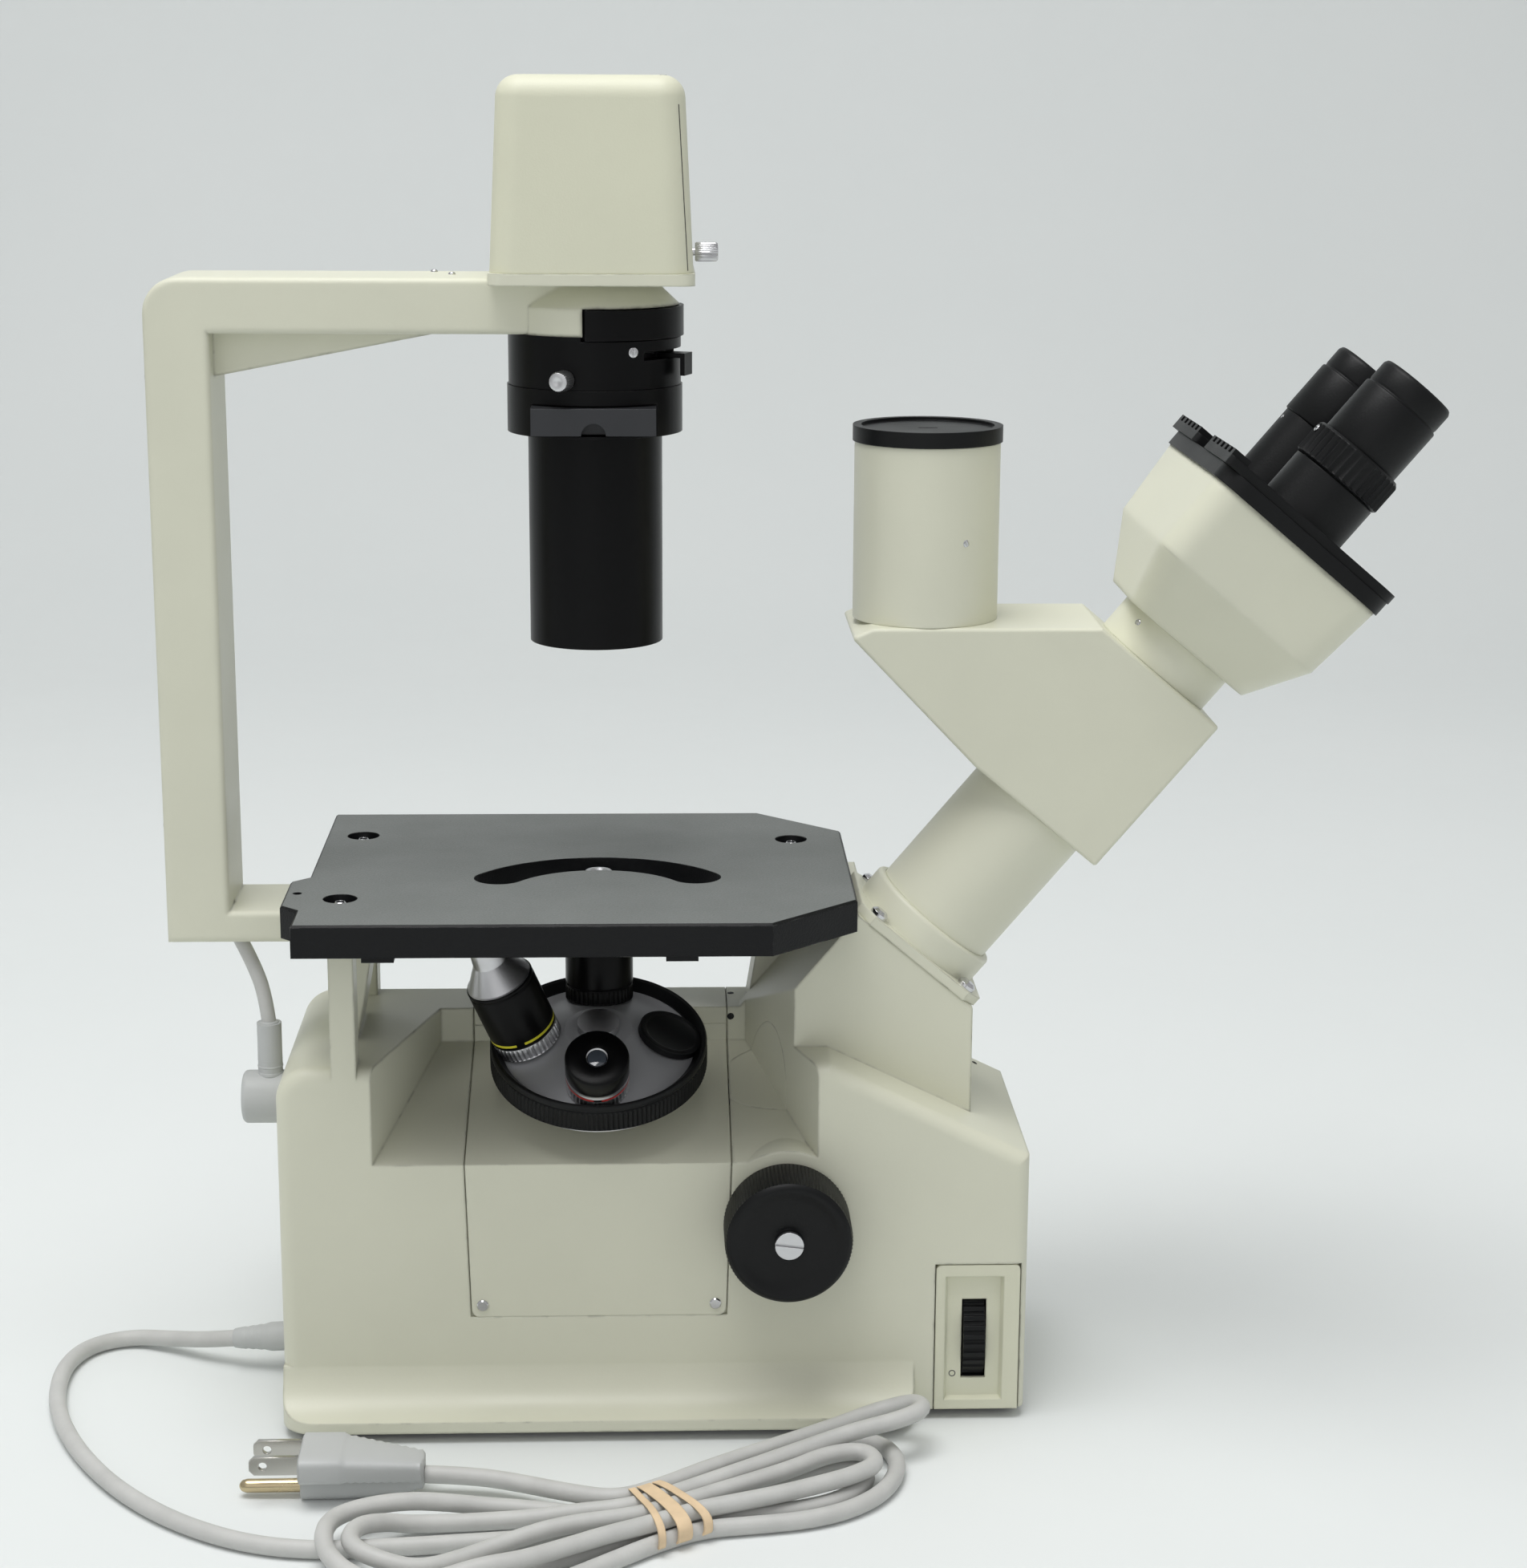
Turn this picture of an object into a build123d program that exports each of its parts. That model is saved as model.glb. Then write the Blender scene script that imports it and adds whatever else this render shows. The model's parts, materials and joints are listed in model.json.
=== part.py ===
from build123d import *

# Inverted microscope for culture vessels, as an assembly of separate pieces.
# Millimetres. +X points to the user's eyepieces, +Y away from the viewer of the
# near side, +Z up. The origin lies on the desk, below the middle of the object.
# Lengths called left and right are measured from the optical axis.

import os
from math import cos, pi, radians, sin, sqrt, tan

# Frame
optical_x = -70.0
running_fit = 0.05
face_gap = 0.4
air_gap = 0.5

# Base casting
base_left = 113.0
base_right = 153.5
base_half_width = 50.0
base_height = 134.4
base_bottom = 4.0
base_wall = 6.0
base_edge_radius = 5.0
base_crown_radius = 12.0
front_slope_start = 82.0
front_slope_angle = 25.8

# Foot flange on both long sides
flange_half_width = 65.5
flange_end = 113.0
flange_lip = 4.0
flange_sweep_height = 19.0
flange_corner_radius = 13.0

# Recess under the stage
recess_near_left = 79.5
recess_near_right = 77.7
recess_far_left = 59.5
recess_far_right = 54.1
recess_far_y = 20.8
deck_far_height = 121.5
deck_slope = 17.6
focus_hump_radius = 26.0
focus_hump_depth = 20.0

# Bent covers over the opening in the casting
cover_half_width = 47.0
cover_foot_half_width = 45.3
cover_thickness = 1.5
cover_foot_height = 41.5
cover_seam_height = 127.8
cover_corner_radius = 3.0
opening_margin = 5.0
cover_screw_x = 41.5
cover_screw_height = 46.0
small_screw_radius = 1.5
small_screw_head = 2.1

# Stage
stage_top = 195.0
stage_thickness = 11.5
stage_left = 102.3
stage_right = 90.7
stage_half_width = 77.9
stage_front_half_width = 48.7
stage_chamfer_start = 60.2
stage_edge_chamfer = 0.8
stage_tab_depth = 6.2
stage_tab_near = 58.9
stage_tab_far = 14.8
stage_tab_slant = 6.0
stage_tab_hole_radius = 1.6
slot_mean_radius = 42.0
slot_width = 18.0
slot_half_angle = 56.4
slot_centre_y = -40.4
stage_screw_rear_x = 88.7
stage_screw_rear_y = 44.0
stage_screw_front_x = 71.4
stage_screw_front_y = 36.4
stage_screw_radius = 2.0
stage_screw_head_radius = 3.5
stage_screw_head_height = 4.0
stage_counterbore_radius = 6.0
stage_counterbore_depth = 5.0
stage_pad_length = 11.0
stage_pad_width = 8.0
stage_pad_height = 2.5

# Posts that carry the stage and the arm
post_width = 8.8
post_depth = 12.0
web_near_y = 27.0
web_depth = 19.0
web_foot_left = 54.1
web_top_left = 63.0
web_right = 96.0
pedestal_left = 95.0
pedestal_top_right = 80.0
pedestal_foot_right = 88.0
pedestal_half_width = 16.0
arm_foot_height = 172.0

# Inclined neck, measured along and across its own axis
neck_angle = 50.0
mirror_height = 30.6
neck_half_width = 27.0
neck_top = 176.4
light_bore_radius = 20.0

# Neck collar and inclined tube
collar_flange_half = 28.0
collar_flange_half_y = 27.5
collar_flange_thickness = 3.6
collar_flange_chamfer = 6.0
collar_radius = 26.0
collar_top = 190.5
collar_fillet = 3.0
collar_screw_spread_n = 20.7
collar_screw_spread_y = 22.6
dome_screw_radius = 3.4
dome_screw_shank = 1.8
dome_screw_length = 9.0
inclined_tube_radius = 23.4
inclined_tube_foot = 184.5
inclined_tube_top = 243.6

# Prism housing and phototube
housing_half_width = 26.0
housing_wall = 4.0
housing_roof_left = 96.6
housing_tip_left = 89.0
housing_tip_height = 283.0
housing_roof_height = 286.3
housing_edge_radius = 1.2
phototube_x = 116.7
phototube_radius = 25.7
phototube_top = 349.0
phototube_wall = 5.7
phototube_cap_radius = 26.4
phototube_cap_thickness = 5.5
phototube_cap_recess = 1.2
phototube_plug_depth = 6.0

# Binocular head, measured along the neck axis
head_ring_start = 309.5
head_ring_radius = 23.3
head_body_start = 323.0
head_shoulder = 345.0
head_body_top = 374.0
head_wall = 3.5
tube_prism_start = 256.0
tube_prism_end = 286.0
tube_prism_half = 15.0
head_foot_back = 27.0
head_foot_front = 26.0
head_foot_half_width = 29.0
head_back = 39.0
head_front = 34.5
head_half_width = 54.0
head_corner_radius = 10.0
face_plate_thickness = 5.5
face_plate_lip = 1.0
slide_plate_thickness = 3.5
slide_plate_back = 41.5
slide_plate_front = 36.0
slide_plate_half_width = 21.5
slide_grip_length = 7.0
slide_grip_height = 2.2
slide_grip_ribs = 6
slide_travel = 5.0
eyepiece_spacing = 64.0
eyepiece_n = -3.3
eyepiece_tube_radius = 14.3
eyepiece_tube_bore = 11.6
eyepiece_tube_top = 405.0
left_collar_radius = 16.5
diopter_foot = 399.6
diopter_height = 12.5
diopter_radius = 17.6
diopter_flute_count = 36
eyepiece_barrel_radius = 15.0
eyepiece_barrel_top = 433.0
eyepiece_cap_radius = 14.4
eyepiece_cap_top = 442.0
right_eyepiece_drop = 1.5
eye_lens_radius = 10.5

# Illumination arm
arm_half_width = 19.5
arm_back = 152.8
arm_leg_width = 22.2
arm_beam_top = 406.0
arm_beam_height = 19.0
arm_foot_thickness = 11.5
arm_outer_radius = 12.5
arm_lower_radius = 14.0
arm_inner_radius = 4.0
arm_rib_start_height = 372.0
arm_rib_end = 52.0
arm_rib_half_width = 9.0
arm_channel_half_width = 15.0
arm_channel_depth = 16.0
arm_channel_foot = 186.0
arm_channel_top = 392.0
arm_cover_thickness = 2.0
arm_cover_lap = 2.0
arm_plate_step = 404.5
boss_radius = 29.5
boss_foot = 387.0
boss_cut_height = 396.4
boss_skirt_wall = 3.0
boss_cone_start = 396.4
boss_cone_top_radius = 21.0
boss_cut_x = -3.6
boss_bore_radius = 16.0

# Lamp house
lamp_plate_left = 35.2
lamp_plate_right = 34.5
lamp_plate_half_width = 36.0
lamp_plate_thickness = 4.0
lamp_plate_corner = 5.0
lamp_cover_top = 473.4
lamp_cover_wall = 2.0
lamp_cover_draft = 3.0
lamp_cover_inset = 0.5
lamp_cover_corner = 9.0
lamp_cover_top_radius = 7.5
thumb_screw_height = 414.0
thumb_screw_radius = 3.3
thumb_screw_length = 8.0
thumb_screw_shank = 1.6
lamp_height = 433.0
lamp_radius = 4.5
lamp_holder_left = 28.0
lamp_holder_right = 14.0
lamp_holder_half_width = 8.0

# Condenser
filter_holder_top = 396.0
filter_holder_foot = 385.8
filter_holder_radius = 25.8
filter_holder_lip_radius = 31.0
filter_radius = 16.5
filter_pivot_x = 2.0
filter_pivot_y = 24.0
filter_pivot_radius = 1.6
filter_lug_radius = 3.6
drum_radius = 30.0
drum_foot = 368.9
drum_top = 385.4
drum_bore_radius = 25.0
drum_floor = 2.5
slider_drum_radius = 30.5
slider_drum_foot = 352.6
condenser_tube_radius = 23.4
condenser_tube_foot = 278.5
condenser_bore_radius = 20.0
condenser_lens_thickness = 4.0
slider_half_width = 19.2
slider_thickness = 4.5
slider_height = 358.6
slider_far_y = 50.0
slider_grip_half_width = 21.3
slider_grip_foot = 354.0
slider_grip_top = 363.3
slider_grip_front = 33.0
slider_grip_back = 22.0
slider_notch_radius = 4.2
slider_opening_radius = 9.0
slider_step = 28.0
clamp_knob_angle = 18.0
clamp_knob_height = 372.6
clamp_knob_radius = 3.5
clamp_knob_length = 8.0
clamp_knob_shank = 1.5
lever_angle = -20.0
lever_height = 379.6
lever_thickness = 1.6
lever_length = 34.5
lever_half_width = 4.0
lever_tab_drop = 6.0
lever_swing_low = -22.0
lever_swing_high = 30.0
iris_inner_radius = 17.0

# Focus drive
focus_x = 66.7
focus_height = 77.3
focus_shaft_radius = 4.0
focus_bush_radius = 8.0
knob_radius = 22.5
knob_near = 51.0
knob_far = 73.0
knob_dish_radius = 18.0
knob_dish_depth = 2.0
knob_flute_count = 48
knob_flute_radius = 0.8
knob_cap_radius = 5.0
knob_cap_height = 1.5
knob_slot_width = 0.9
knob_slot_turn = -7.0
pinion_teeth = 12
gear_module = 1.0
pinion_near_y = 21.0
pinion_width = 14.0

# Nosepiece and its carriage
turret_y = -23.5
turret_height = 136.8
turret_tilt = 20.0
turret_pitch_radius = 25.0
turret_rim_radius = 39.0
turret_rim_height = 11.0
turret_rim_flutes = 60
turret_plate_radius = 34.5
turret_hub_bore = 5.0
turret_thread_radius = 10.0
turret_thread_depth = 5.0
nose_disc_radius = 33.0
nose_disc_thickness = 4.5
nose_column_radius = 22.0
nose_column_y = -8.0
nose_bore_radius = 11.0
carriage_plate_foot = 84.0
carriage_plate_top = 94.0
carriage_left = 26.0
carriage_near_y = -31.0
carriage_far_y = 37.0
carriage_plate_right = 22.0
carriage_arm_near_y = 18.0
carriage_block_left = 42.0
carriage_block_near_y = 20.0
carriage_block_foot = 54.0
dovetail_x = 50.0
dovetail_narrow = 8.0
dovetail_wide = 12.0
dovetail_depth = 5.0
guide_width = 13.0
guide_foot = 44.0
guide_top = 98.0

# Objectives, measured from their shoulders
barrel_radius = 12.3
long_barrel = 29.0
cone_end = 37.5
cone_end_radius = 6.25
tip_end = 47.8
tip_radius = 4.75
objective_bore_radius = 3.2
short_radius = 11.25
short_length = 17.0
port_cap_radius = 11.6
port_cap_height = 3.0

# Brightness panel and dial
panel_left = 120.6
panel_right = 150.8
panel_top = 59.5
panel_thickness = 4.0
panel_sunk_left = 124.0
panel_sunk_right = 145.0
panel_sunk_top = 55.1
panel_sunk_foot = 7.5
panel_sunk_depth = 2.5
panel_window_left = 130.3
panel_window_right = 139.1
panel_window_top = 45.6
panel_window_foot = 15.1
panel_corner_radius = 2.0
dial_radius = 22.0
dial_front_y = -51.0
dial_flute_count = 40
dial_side_gap = 0.5
dial_shaft_radius = 3.0
board_x = 116.0
board_thickness = 1.6
pot_radius = 8.0

# Power supply, feet and mains inlet
transformer_x = -78.0
transformer_core = 14.0
transformer_length = 44.0
transformer_height = 40.0
transformer_stack = 24.0
transformer_y = 0.0
transformer_winding = 38.0
plate_inset = 4.0
plate_thickness = 2.0
foot_radius = 9.0
foot_x = 96.0
foot_y = 50.0
mirror_size = 34.0
mirror_width = 30.0
mirror_thickness = 3.0
gland_height = 13.0
gland_radius = 5.5
gland_flange_radius = 7.5
gland_flange_thickness = 2.5
gland_boot_length = 8.0
mains_cord_radius = 3.1
lead_radius = 2.6
lead_y = -15.0
lead_plug_height = 113.0
lead_plug_radius = 9.6
lead_plug_reach = 15.5
lead_relief_radius = 4.4
lead_relief_top = 141.0
lead_relief_x = -118.5
lead_pin_radius = 5.0

# Mains plug and tied hank, in front of the base
plug_front_x = -101.0
plug_length = 42.0
plug_near_y = -117.0
plug_width = 26.0
plug_height = 19.0
plug_tail_width = 15.0
plug_tail_height = 13.0
blade_spread = 12.7
blade_height = 14.5
blade_width = 6.3
blade_thickness = 1.5
blade_length = 17.0
blade_hole_radius = 1.6
earth_pin_radius = 2.4
earth_pin_height = 4.0
earth_pin_length = 21.0
hank_left_x = -62.0
hank_left_y = -156.0
hank_left_radius = 27.0
hank_right_x = 76.0
hank_right_y = -108.0
hank_right_radius = 27.0
hank_waist = 34.0
hank_height = 13.0

rest_angle = radians(neck_angle)
tilt = radians(turret_tilt)
tilt_sin = sin(tilt)
tilt_cos = cos(tilt)


def side_plane(y=0.0):
    """Plane of the side view: local x to the right of the optical axis, local y up."""
    return Plane(origin=(optical_x, y, 0), x_dir=(1, 0, 0), z_dir=(0, -1, 0))


def cross_plane(x=0.0):
    """Plane across the object: local x away from the viewer, local y up."""
    return Plane(origin=(optical_x + x, 0, 0), x_dir=(0, 1, 0), z_dir=(1, 0, 0))


def level(height, x=0.0, y=0.0):
    """Horizontal plane with its origin at a place measured from the optical axis."""
    return Plane(origin=(optical_x + x, y, height))


def axis_point(along, across):
    """Side view place at a length along the neck axis and a distance below it."""
    x = along * cos(rest_angle) + across * sin(rest_angle)
    height = mirror_height + along * sin(rest_angle) - across * cos(rest_angle)
    return (x, height)


def axis_plane(along, across=0.0, y=0.0):
    """Plane square to the neck axis: local x to the lower right, local y away."""
    x, height = axis_point(along, across)
    return Plane(
        origin=(optical_x + x, y, height),
        x_dir=(sin(rest_angle), 0, -cos(rest_angle)),
        z_dir=(cos(rest_angle), 0, sin(rest_angle)),
    )


def turret_plane(offset=0.0):
    """Plane of the turret, moved along its axis: local y to the objective in use."""
    return Plane(
        origin=(optical_x, turret_y - offset * tilt_sin, turret_height + offset * tilt_cos),
        x_dir=(1, 0, 0),
        z_dir=(0, -tilt_sin, tilt_cos),
    )


def seat_plane(position, offset=0.0):
    """Seat of an objective on the cone of the turret; position 0 is the one in use."""
    base = turret_plane()
    angle = radians(position)
    outward = base.x_dir * sin(angle) + base.y_dir * cos(angle)
    across = base.x_dir * cos(angle) - base.y_dir * sin(angle)
    direction = base.z_dir * tilt_cos + outward * tilt_sin
    origin = base.origin + outward * turret_pitch_radius + direction * offset
    return Plane(origin=origin, x_dir=across, z_dir=direction)


def deck_height(y):
    """Height of the sloping deck of the recess at a distance away from the viewer."""
    return deck_far_height - (recess_far_y - y) * tan(radians(deck_slope))


def recess_shape(grow=0.0):
    """The open recess above the sloping deck, with its faces moved out by grow."""
    reach = base_half_width + 10
    left_lean = (recess_near_left - recess_far_left) / (base_half_width + recess_far_y)
    right_lean = (recess_near_right - recess_far_right) / (base_half_width + recess_far_y)
    near_left = -recess_near_left - left_lean * (reach - base_half_width)
    near_right = recess_near_right + right_lean * (reach - base_half_width)
    drop = grow / cos(radians(deck_slope))
    far = recess_far_y + grow
    with BuildPart() as shape:
        with BuildSketch(level(0)):
            with BuildLine():
                Polyline(
                    (near_left, -reach),
                    (near_right, -reach),
                    (recess_far_right, recess_far_y),
                    (-recess_far_left, recess_far_y),
                    close=True,
                )
            make_face()
            if grow:
                offset(amount=grow, kind=Kind.INTERSECTION)
        extrude(amount=stage_top)
        with BuildSketch(cross_plane()):
            with BuildLine():
                Polyline(
                    (-reach - grow, deck_height(-reach - grow) - drop),
                    (far, deck_height(far) - drop),
                    (far, stage_top + 1),
                    (-reach - grow, stage_top + 1),
                    close=True,
                )
            make_face()
        extrude(amount=base_left + base_right, both=True, mode=Mode.INTERSECT)
    return shape.part


def bent_strip(path, outer, inner):
    """Outline between two offsets of a cover's path, as points across the object.

    The path has straight runs; each corner is moved to the crossing of its moved runs.
    """

    def moved(distance):
        points = []
        normals = []
        for (y0, z0), (y1, z1) in zip(path, path[1:]):
            length = sqrt((y1 - y0) ** 2 + (z1 - z0) ** 2)
            normals.append(((z1 - z0) / length, -(y1 - y0) / length))
        for i, (y, z) in enumerate(path):
            before = normals[max(i - 1, 0)]
            after = normals[min(i, len(normals) - 1)]
            share = 1 + before[0] * after[0] + before[1] * after[1]
            points.append(
                (
                    y + distance * (before[0] + after[0]) / share,
                    z + distance * (before[1] + after[1]) / share,
                )
            )
        return points

    return moved(outer) + moved(inner)[::-1]


def bent_cover(path, half_width, foot_half_width, grow, outer, inner, corner):
    """Bent sheet along a path across the object, cut to its width seen from the side."""
    foot = path[0][1] if path[0][1] < path[-1][1] else path[-1][1]
    with BuildPart() as sheet:
        with BuildSketch(cross_plane()):
            with BuildLine():
                Polyline(*bent_strip(path, outer, inner), close=True)
            make_face()
        extrude(amount=half_width + grow, both=True)
        with BuildSketch(side_plane()) as outline:
            with BuildLine():
                Polyline(
                    (-foot_half_width - grow, foot - grow),
                    (foot_half_width + grow, foot - grow),
                    (half_width + grow, deck_height(-base_half_width)),
                    (half_width + grow, base_height + grow),
                    (-half_width - grow, base_height + grow),
                    (-half_width - grow, deck_height(-base_half_width)),
                    close=True,
                )
            make_face()
            if corner:
                fillet(outline.vertices().group_by(Axis.Y)[0], corner)
        extrude(amount=base_half_width + 10, both=True, mode=Mode.INTERSECT)
    return sheet.part


# The recess cover runs up the near face, over the deck and up the far wall.
recess_cover_path = [
    (-base_half_width, cover_foot_height),
    (-base_half_width, deck_height(-base_half_width)),
    (recess_far_y, deck_far_height),
    (recess_far_y, cover_seam_height),
]
# The far cover runs from that seam over the top strip and down the far side.
far_cover_path = [
    (recess_far_y, cover_seam_height),
    (recess_far_y, base_height),
    (base_half_width, base_height),
    (base_half_width, cover_foot_height),
]

# Base casting: hollow housing with foot flanges, posts and inclined neck
slope_fall = (base_right - front_slope_start) * tan(radians(front_slope_angle))
wall_fall = base_wall * (1 / cos(radians(front_slope_angle)) - tan(radians(front_slope_angle)))
cavity_slope_start = front_slope_start - base_wall * tan(radians(front_slope_angle) / 2)
neck_right_x, neck_right_height = axis_point(neck_top, neck_half_width)

with BuildPart() as casting_cavity:
    with BuildSketch(side_plane()):
        with BuildLine():
            Polyline(
                (-base_left + base_wall, base_bottom - 1),
                (-base_left + base_wall, base_height - base_wall),
                (cavity_slope_start, base_height - base_wall),
                (base_right - base_wall, base_height - slope_fall - wall_fall),
                (base_right - base_wall, base_bottom - 1),
                close=True,
            )
        make_face()
    extrude(amount=base_half_width - base_wall, both=True)
    add(recess_shape(base_wall), mode=Mode.SUBTRACT)

# Foot flanges that sweep out of both long walls
with BuildPart() as flange:
    with BuildSketch(cross_plane()):
        with BuildLine():
            lip = Polyline(
                (base_half_width - base_wall, base_bottom + flange_sweep_height),
                (base_half_width - base_wall, base_bottom),
                (flange_half_width + 1, base_bottom),
                (flange_half_width + 1, base_bottom + flange_lip),
            )
            sweep_line = ThreePointArc(
                (flange_half_width + 1, base_bottom + flange_lip),
                (base_half_width + 5.2, base_bottom + flange_lip + 4.6),
                (base_half_width, base_bottom + flange_sweep_height),
            )
            Line(sweep_line @ 1, lip @ 0)
        make_face()
        mirror(about=Plane.YZ)
    extrude(amount=flange_end, both=True)
    with BuildSketch(level(0)):
        RectangleRounded(2 * flange_end, 2 * flange_half_width, flange_corner_radius)
    extrude(amount=base_height, mode=Mode.INTERSECT)

with BuildPart() as base_casting:
    with BuildSketch(side_plane()):
        with BuildLine():
            Polyline(
                (-base_left, base_bottom),
                (-base_left, base_height),
                (front_slope_start, base_height),
                (base_right, base_height - slope_fall),
                (base_right, base_bottom),
                close=True,
            )
        make_face()
    extrude(amount=base_half_width, both=True)
    left_face = base_casting.faces().sort_by(Axis.X)[0]
    fillet(left_face.edges().filter_by(Axis.Y).sort_by(Axis.Z)[-1], base_crown_radius)
    long_faces = base_casting.faces().filter_by(Axis.Y)
    fillet([e for f in long_faces for e in f.edges() if e.center().Z > base_bottom + 1], base_edge_radius)

    # Foot flanges sweep out of both long walls
    add(flange.part)

    # Inclined neck
    with BuildSketch(side_plane()):
        with BuildLine():
            Polyline(
                axis_point(neck_top, -neck_half_width),
                (neck_right_x, neck_right_height),
                (neck_right_x, deck_height(-base_half_width) - base_wall),
                (front_slope_start, deck_height(-base_half_width) - base_wall),
                axis_point(neck_top / 2, -neck_half_width),
                close=True,
            )
        make_face()
    extrude(amount=neck_half_width, both=True)

    # Rear posts, the column under the stage's front screw, and the arm's pedestal
    with BuildSketch(level(base_height - base_wall, -stage_screw_rear_x)):
        with GridLocations(0, 2 * base_half_width - post_depth, 1, 2):
            Rectangle(post_width, post_depth)
    extrude(amount=stage_top - stage_thickness - base_height + base_wall)
    with BuildSketch(side_plane(web_near_y)):
        with BuildLine():
            Polyline(
                (web_foot_left, base_height - base_wall),
                (web_top_left, stage_top - stage_thickness),
                (web_right, stage_top - stage_thickness),
                (web_right, base_height - base_wall),
                close=True,
            )
        make_face()
    extrude(amount=-web_depth)
    with BuildSketch(side_plane()):
        with BuildLine():
            Polyline(
                (-pedestal_left, base_height - base_wall),
                (-pedestal_left, arm_foot_height),
                (-pedestal_top_right, arm_foot_height),
                (-pedestal_foot_right, base_height - base_wall),
                close=True,
            )
        make_face()
    extrude(amount=pedestal_half_width, both=True)

    # Recess, with the hump round the focus shaft left standing
    add(recess_shape(), mode=Mode.SUBTRACT)
    with BuildSketch(side_plane(-base_half_width)):
        with Locations((focus_x, focus_height)):
            Circle(focus_hump_radius)
    extrude(amount=-focus_hump_depth)

    # Inside, openings under the covers, and rebates for the covers
    add(casting_cavity.part, mode=Mode.SUBTRACT)
    for path, grown_foot in ((recess_cover_path, cover_foot_half_width), (far_cover_path, cover_half_width)):
        add(
            bent_cover(
                path, cover_half_width, grown_foot, face_gap, -1, cover_thickness, 0
            ),
            mode=Mode.SUBTRACT,
        )
        add(
            bent_cover(
                path,
                cover_half_width,
                grown_foot,
                -opening_margin,
                cover_thickness - 0.1,
                2 * base_wall,
                0,
            ),
            mode=Mode.SUBTRACT,
        )

    # Light bore of the neck
    with BuildSketch(axis_plane(neck_top)):
        Circle(light_bore_radius)
    extrude(amount=-(neck_top - 70), mode=Mode.SUBTRACT)

    # Holes for the focus bushes, panel, dial, gland, lamp lead plug and screws
    with BuildSketch(side_plane()):
        with Locations((focus_x, focus_height)):
            Circle(focus_bush_radius)
    extrude(amount=base_half_width + 1, both=True, mode=Mode.SUBTRACT)
    with BuildSketch(side_plane(-base_half_width)):
        with BuildLine():
            Polyline(
                (panel_left - face_gap, base_bottom - 1),
                (panel_left - face_gap, panel_top + face_gap),
                (panel_right + face_gap, panel_top + face_gap),
                (panel_right + face_gap, base_bottom - 1),
                close=True,
            )
        make_face()
    extrude(amount=-panel_thickness, mode=Mode.SUBTRACT)
    with BuildSketch(side_plane(-base_half_width)):
        with BuildLine():
            Polyline(
                (panel_sunk_left, panel_sunk_foot + 2),
                (panel_sunk_left, panel_sunk_top - 2),
                (panel_sunk_right, panel_sunk_top - 2),
                (panel_sunk_right, panel_sunk_foot + 2),
                close=True,
            )
        make_face()
    extrude(amount=-(base_wall + 1), mode=Mode.SUBTRACT)
    with BuildSketch(cross_plane(-base_left)):
        with Locations((0, gland_height)):
            Circle(gland_radius)
        with Locations((lead_y, lead_plug_height)):
            Circle(lead_pin_radius)
    extrude(amount=base_wall + 1, both=True, mode=Mode.SUBTRACT)
    with BuildSketch(side_plane(-base_half_width)):
        with Locations((-cover_screw_x, cover_screw_height), (cover_screw_x, cover_screw_height)):
            Circle(small_screw_radius)
    extrude(amount=-base_wall - 1, mode=Mode.SUBTRACT)
    with BuildSketch(side_plane(base_half_width)):
        with Locations((-cover_screw_x, cover_screw_height), (cover_screw_x, cover_screw_height)):
            Circle(small_screw_radius)
    extrude(amount=base_wall + 1, mode=Mode.SUBTRACT)
    with BuildSketch(level(stage_top - stage_thickness)):
        with Locations(
            (-stage_screw_rear_x, -stage_screw_rear_y),
            (-stage_screw_rear_x, stage_screw_rear_y),
            (stage_screw_front_x, stage_screw_front_y),
        ):
            Circle(stage_screw_radius)
    extrude(amount=-10, mode=Mode.SUBTRACT)
    with BuildSketch(axis_plane(neck_top)):
        with GridLocations(2 * collar_screw_spread_n, 2 * collar_screw_spread_y, 2, 2):
            Circle(dome_screw_shank)
    extrude(amount=-dome_screw_length, mode=Mode.SUBTRACT)


def turned(base, points):
    """Body turned about a plane's normal, from points of radius and height."""
    section = Plane(origin=base.origin, x_dir=base.x_dir, z_dir=base.x_dir.cross(base.z_dir))
    with BuildPart() as piece:
        with BuildSketch(section):
            with BuildLine():
                Polyline(*points, close=True)
            make_face()
        revolve(axis=Axis(base.origin, base.z_dir))
    return piece.part


def screw(base, shank_radius, shank_length, head_radius, head_height):
    """Screw whose head sits on a plane, with a rounded head and a plain shank."""
    crown = head_height * 0.45
    return turned(
        base,
        [
            (0, -shank_length),
            (shank_radius - running_fit, -shank_length),
            (shank_radius - running_fit, 0),
            (head_radius, 0),
            (head_radius, head_height - crown),
            (head_radius - crown, head_height),
            (0, head_height),
        ],
    )


def fluted(base, radius, height, count, flute):
    """Disc with round flutes cut along its rim."""
    with BuildPart() as piece:
        with BuildSketch(base):
            Circle(radius)
            with PolarLocations(radius, count):
                Circle(flute, mode=Mode.SUBTRACT)
        extrude(amount=height)
    return piece.part


def ring_sector(inner, outer, start, end):
    """Flat ring sector between two angles, as a face."""
    with BuildSketch() as sector:
        with BuildLine():
            rim = CenterArc((0, 0), outer, start, end - start)
            bore = CenterArc((0, 0), inner, start, end - start)
            Line(rim @ 0, bore @ 0)
            Line(rim @ 1, bore @ 1)
        make_face()
    return sector.sketch


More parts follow.
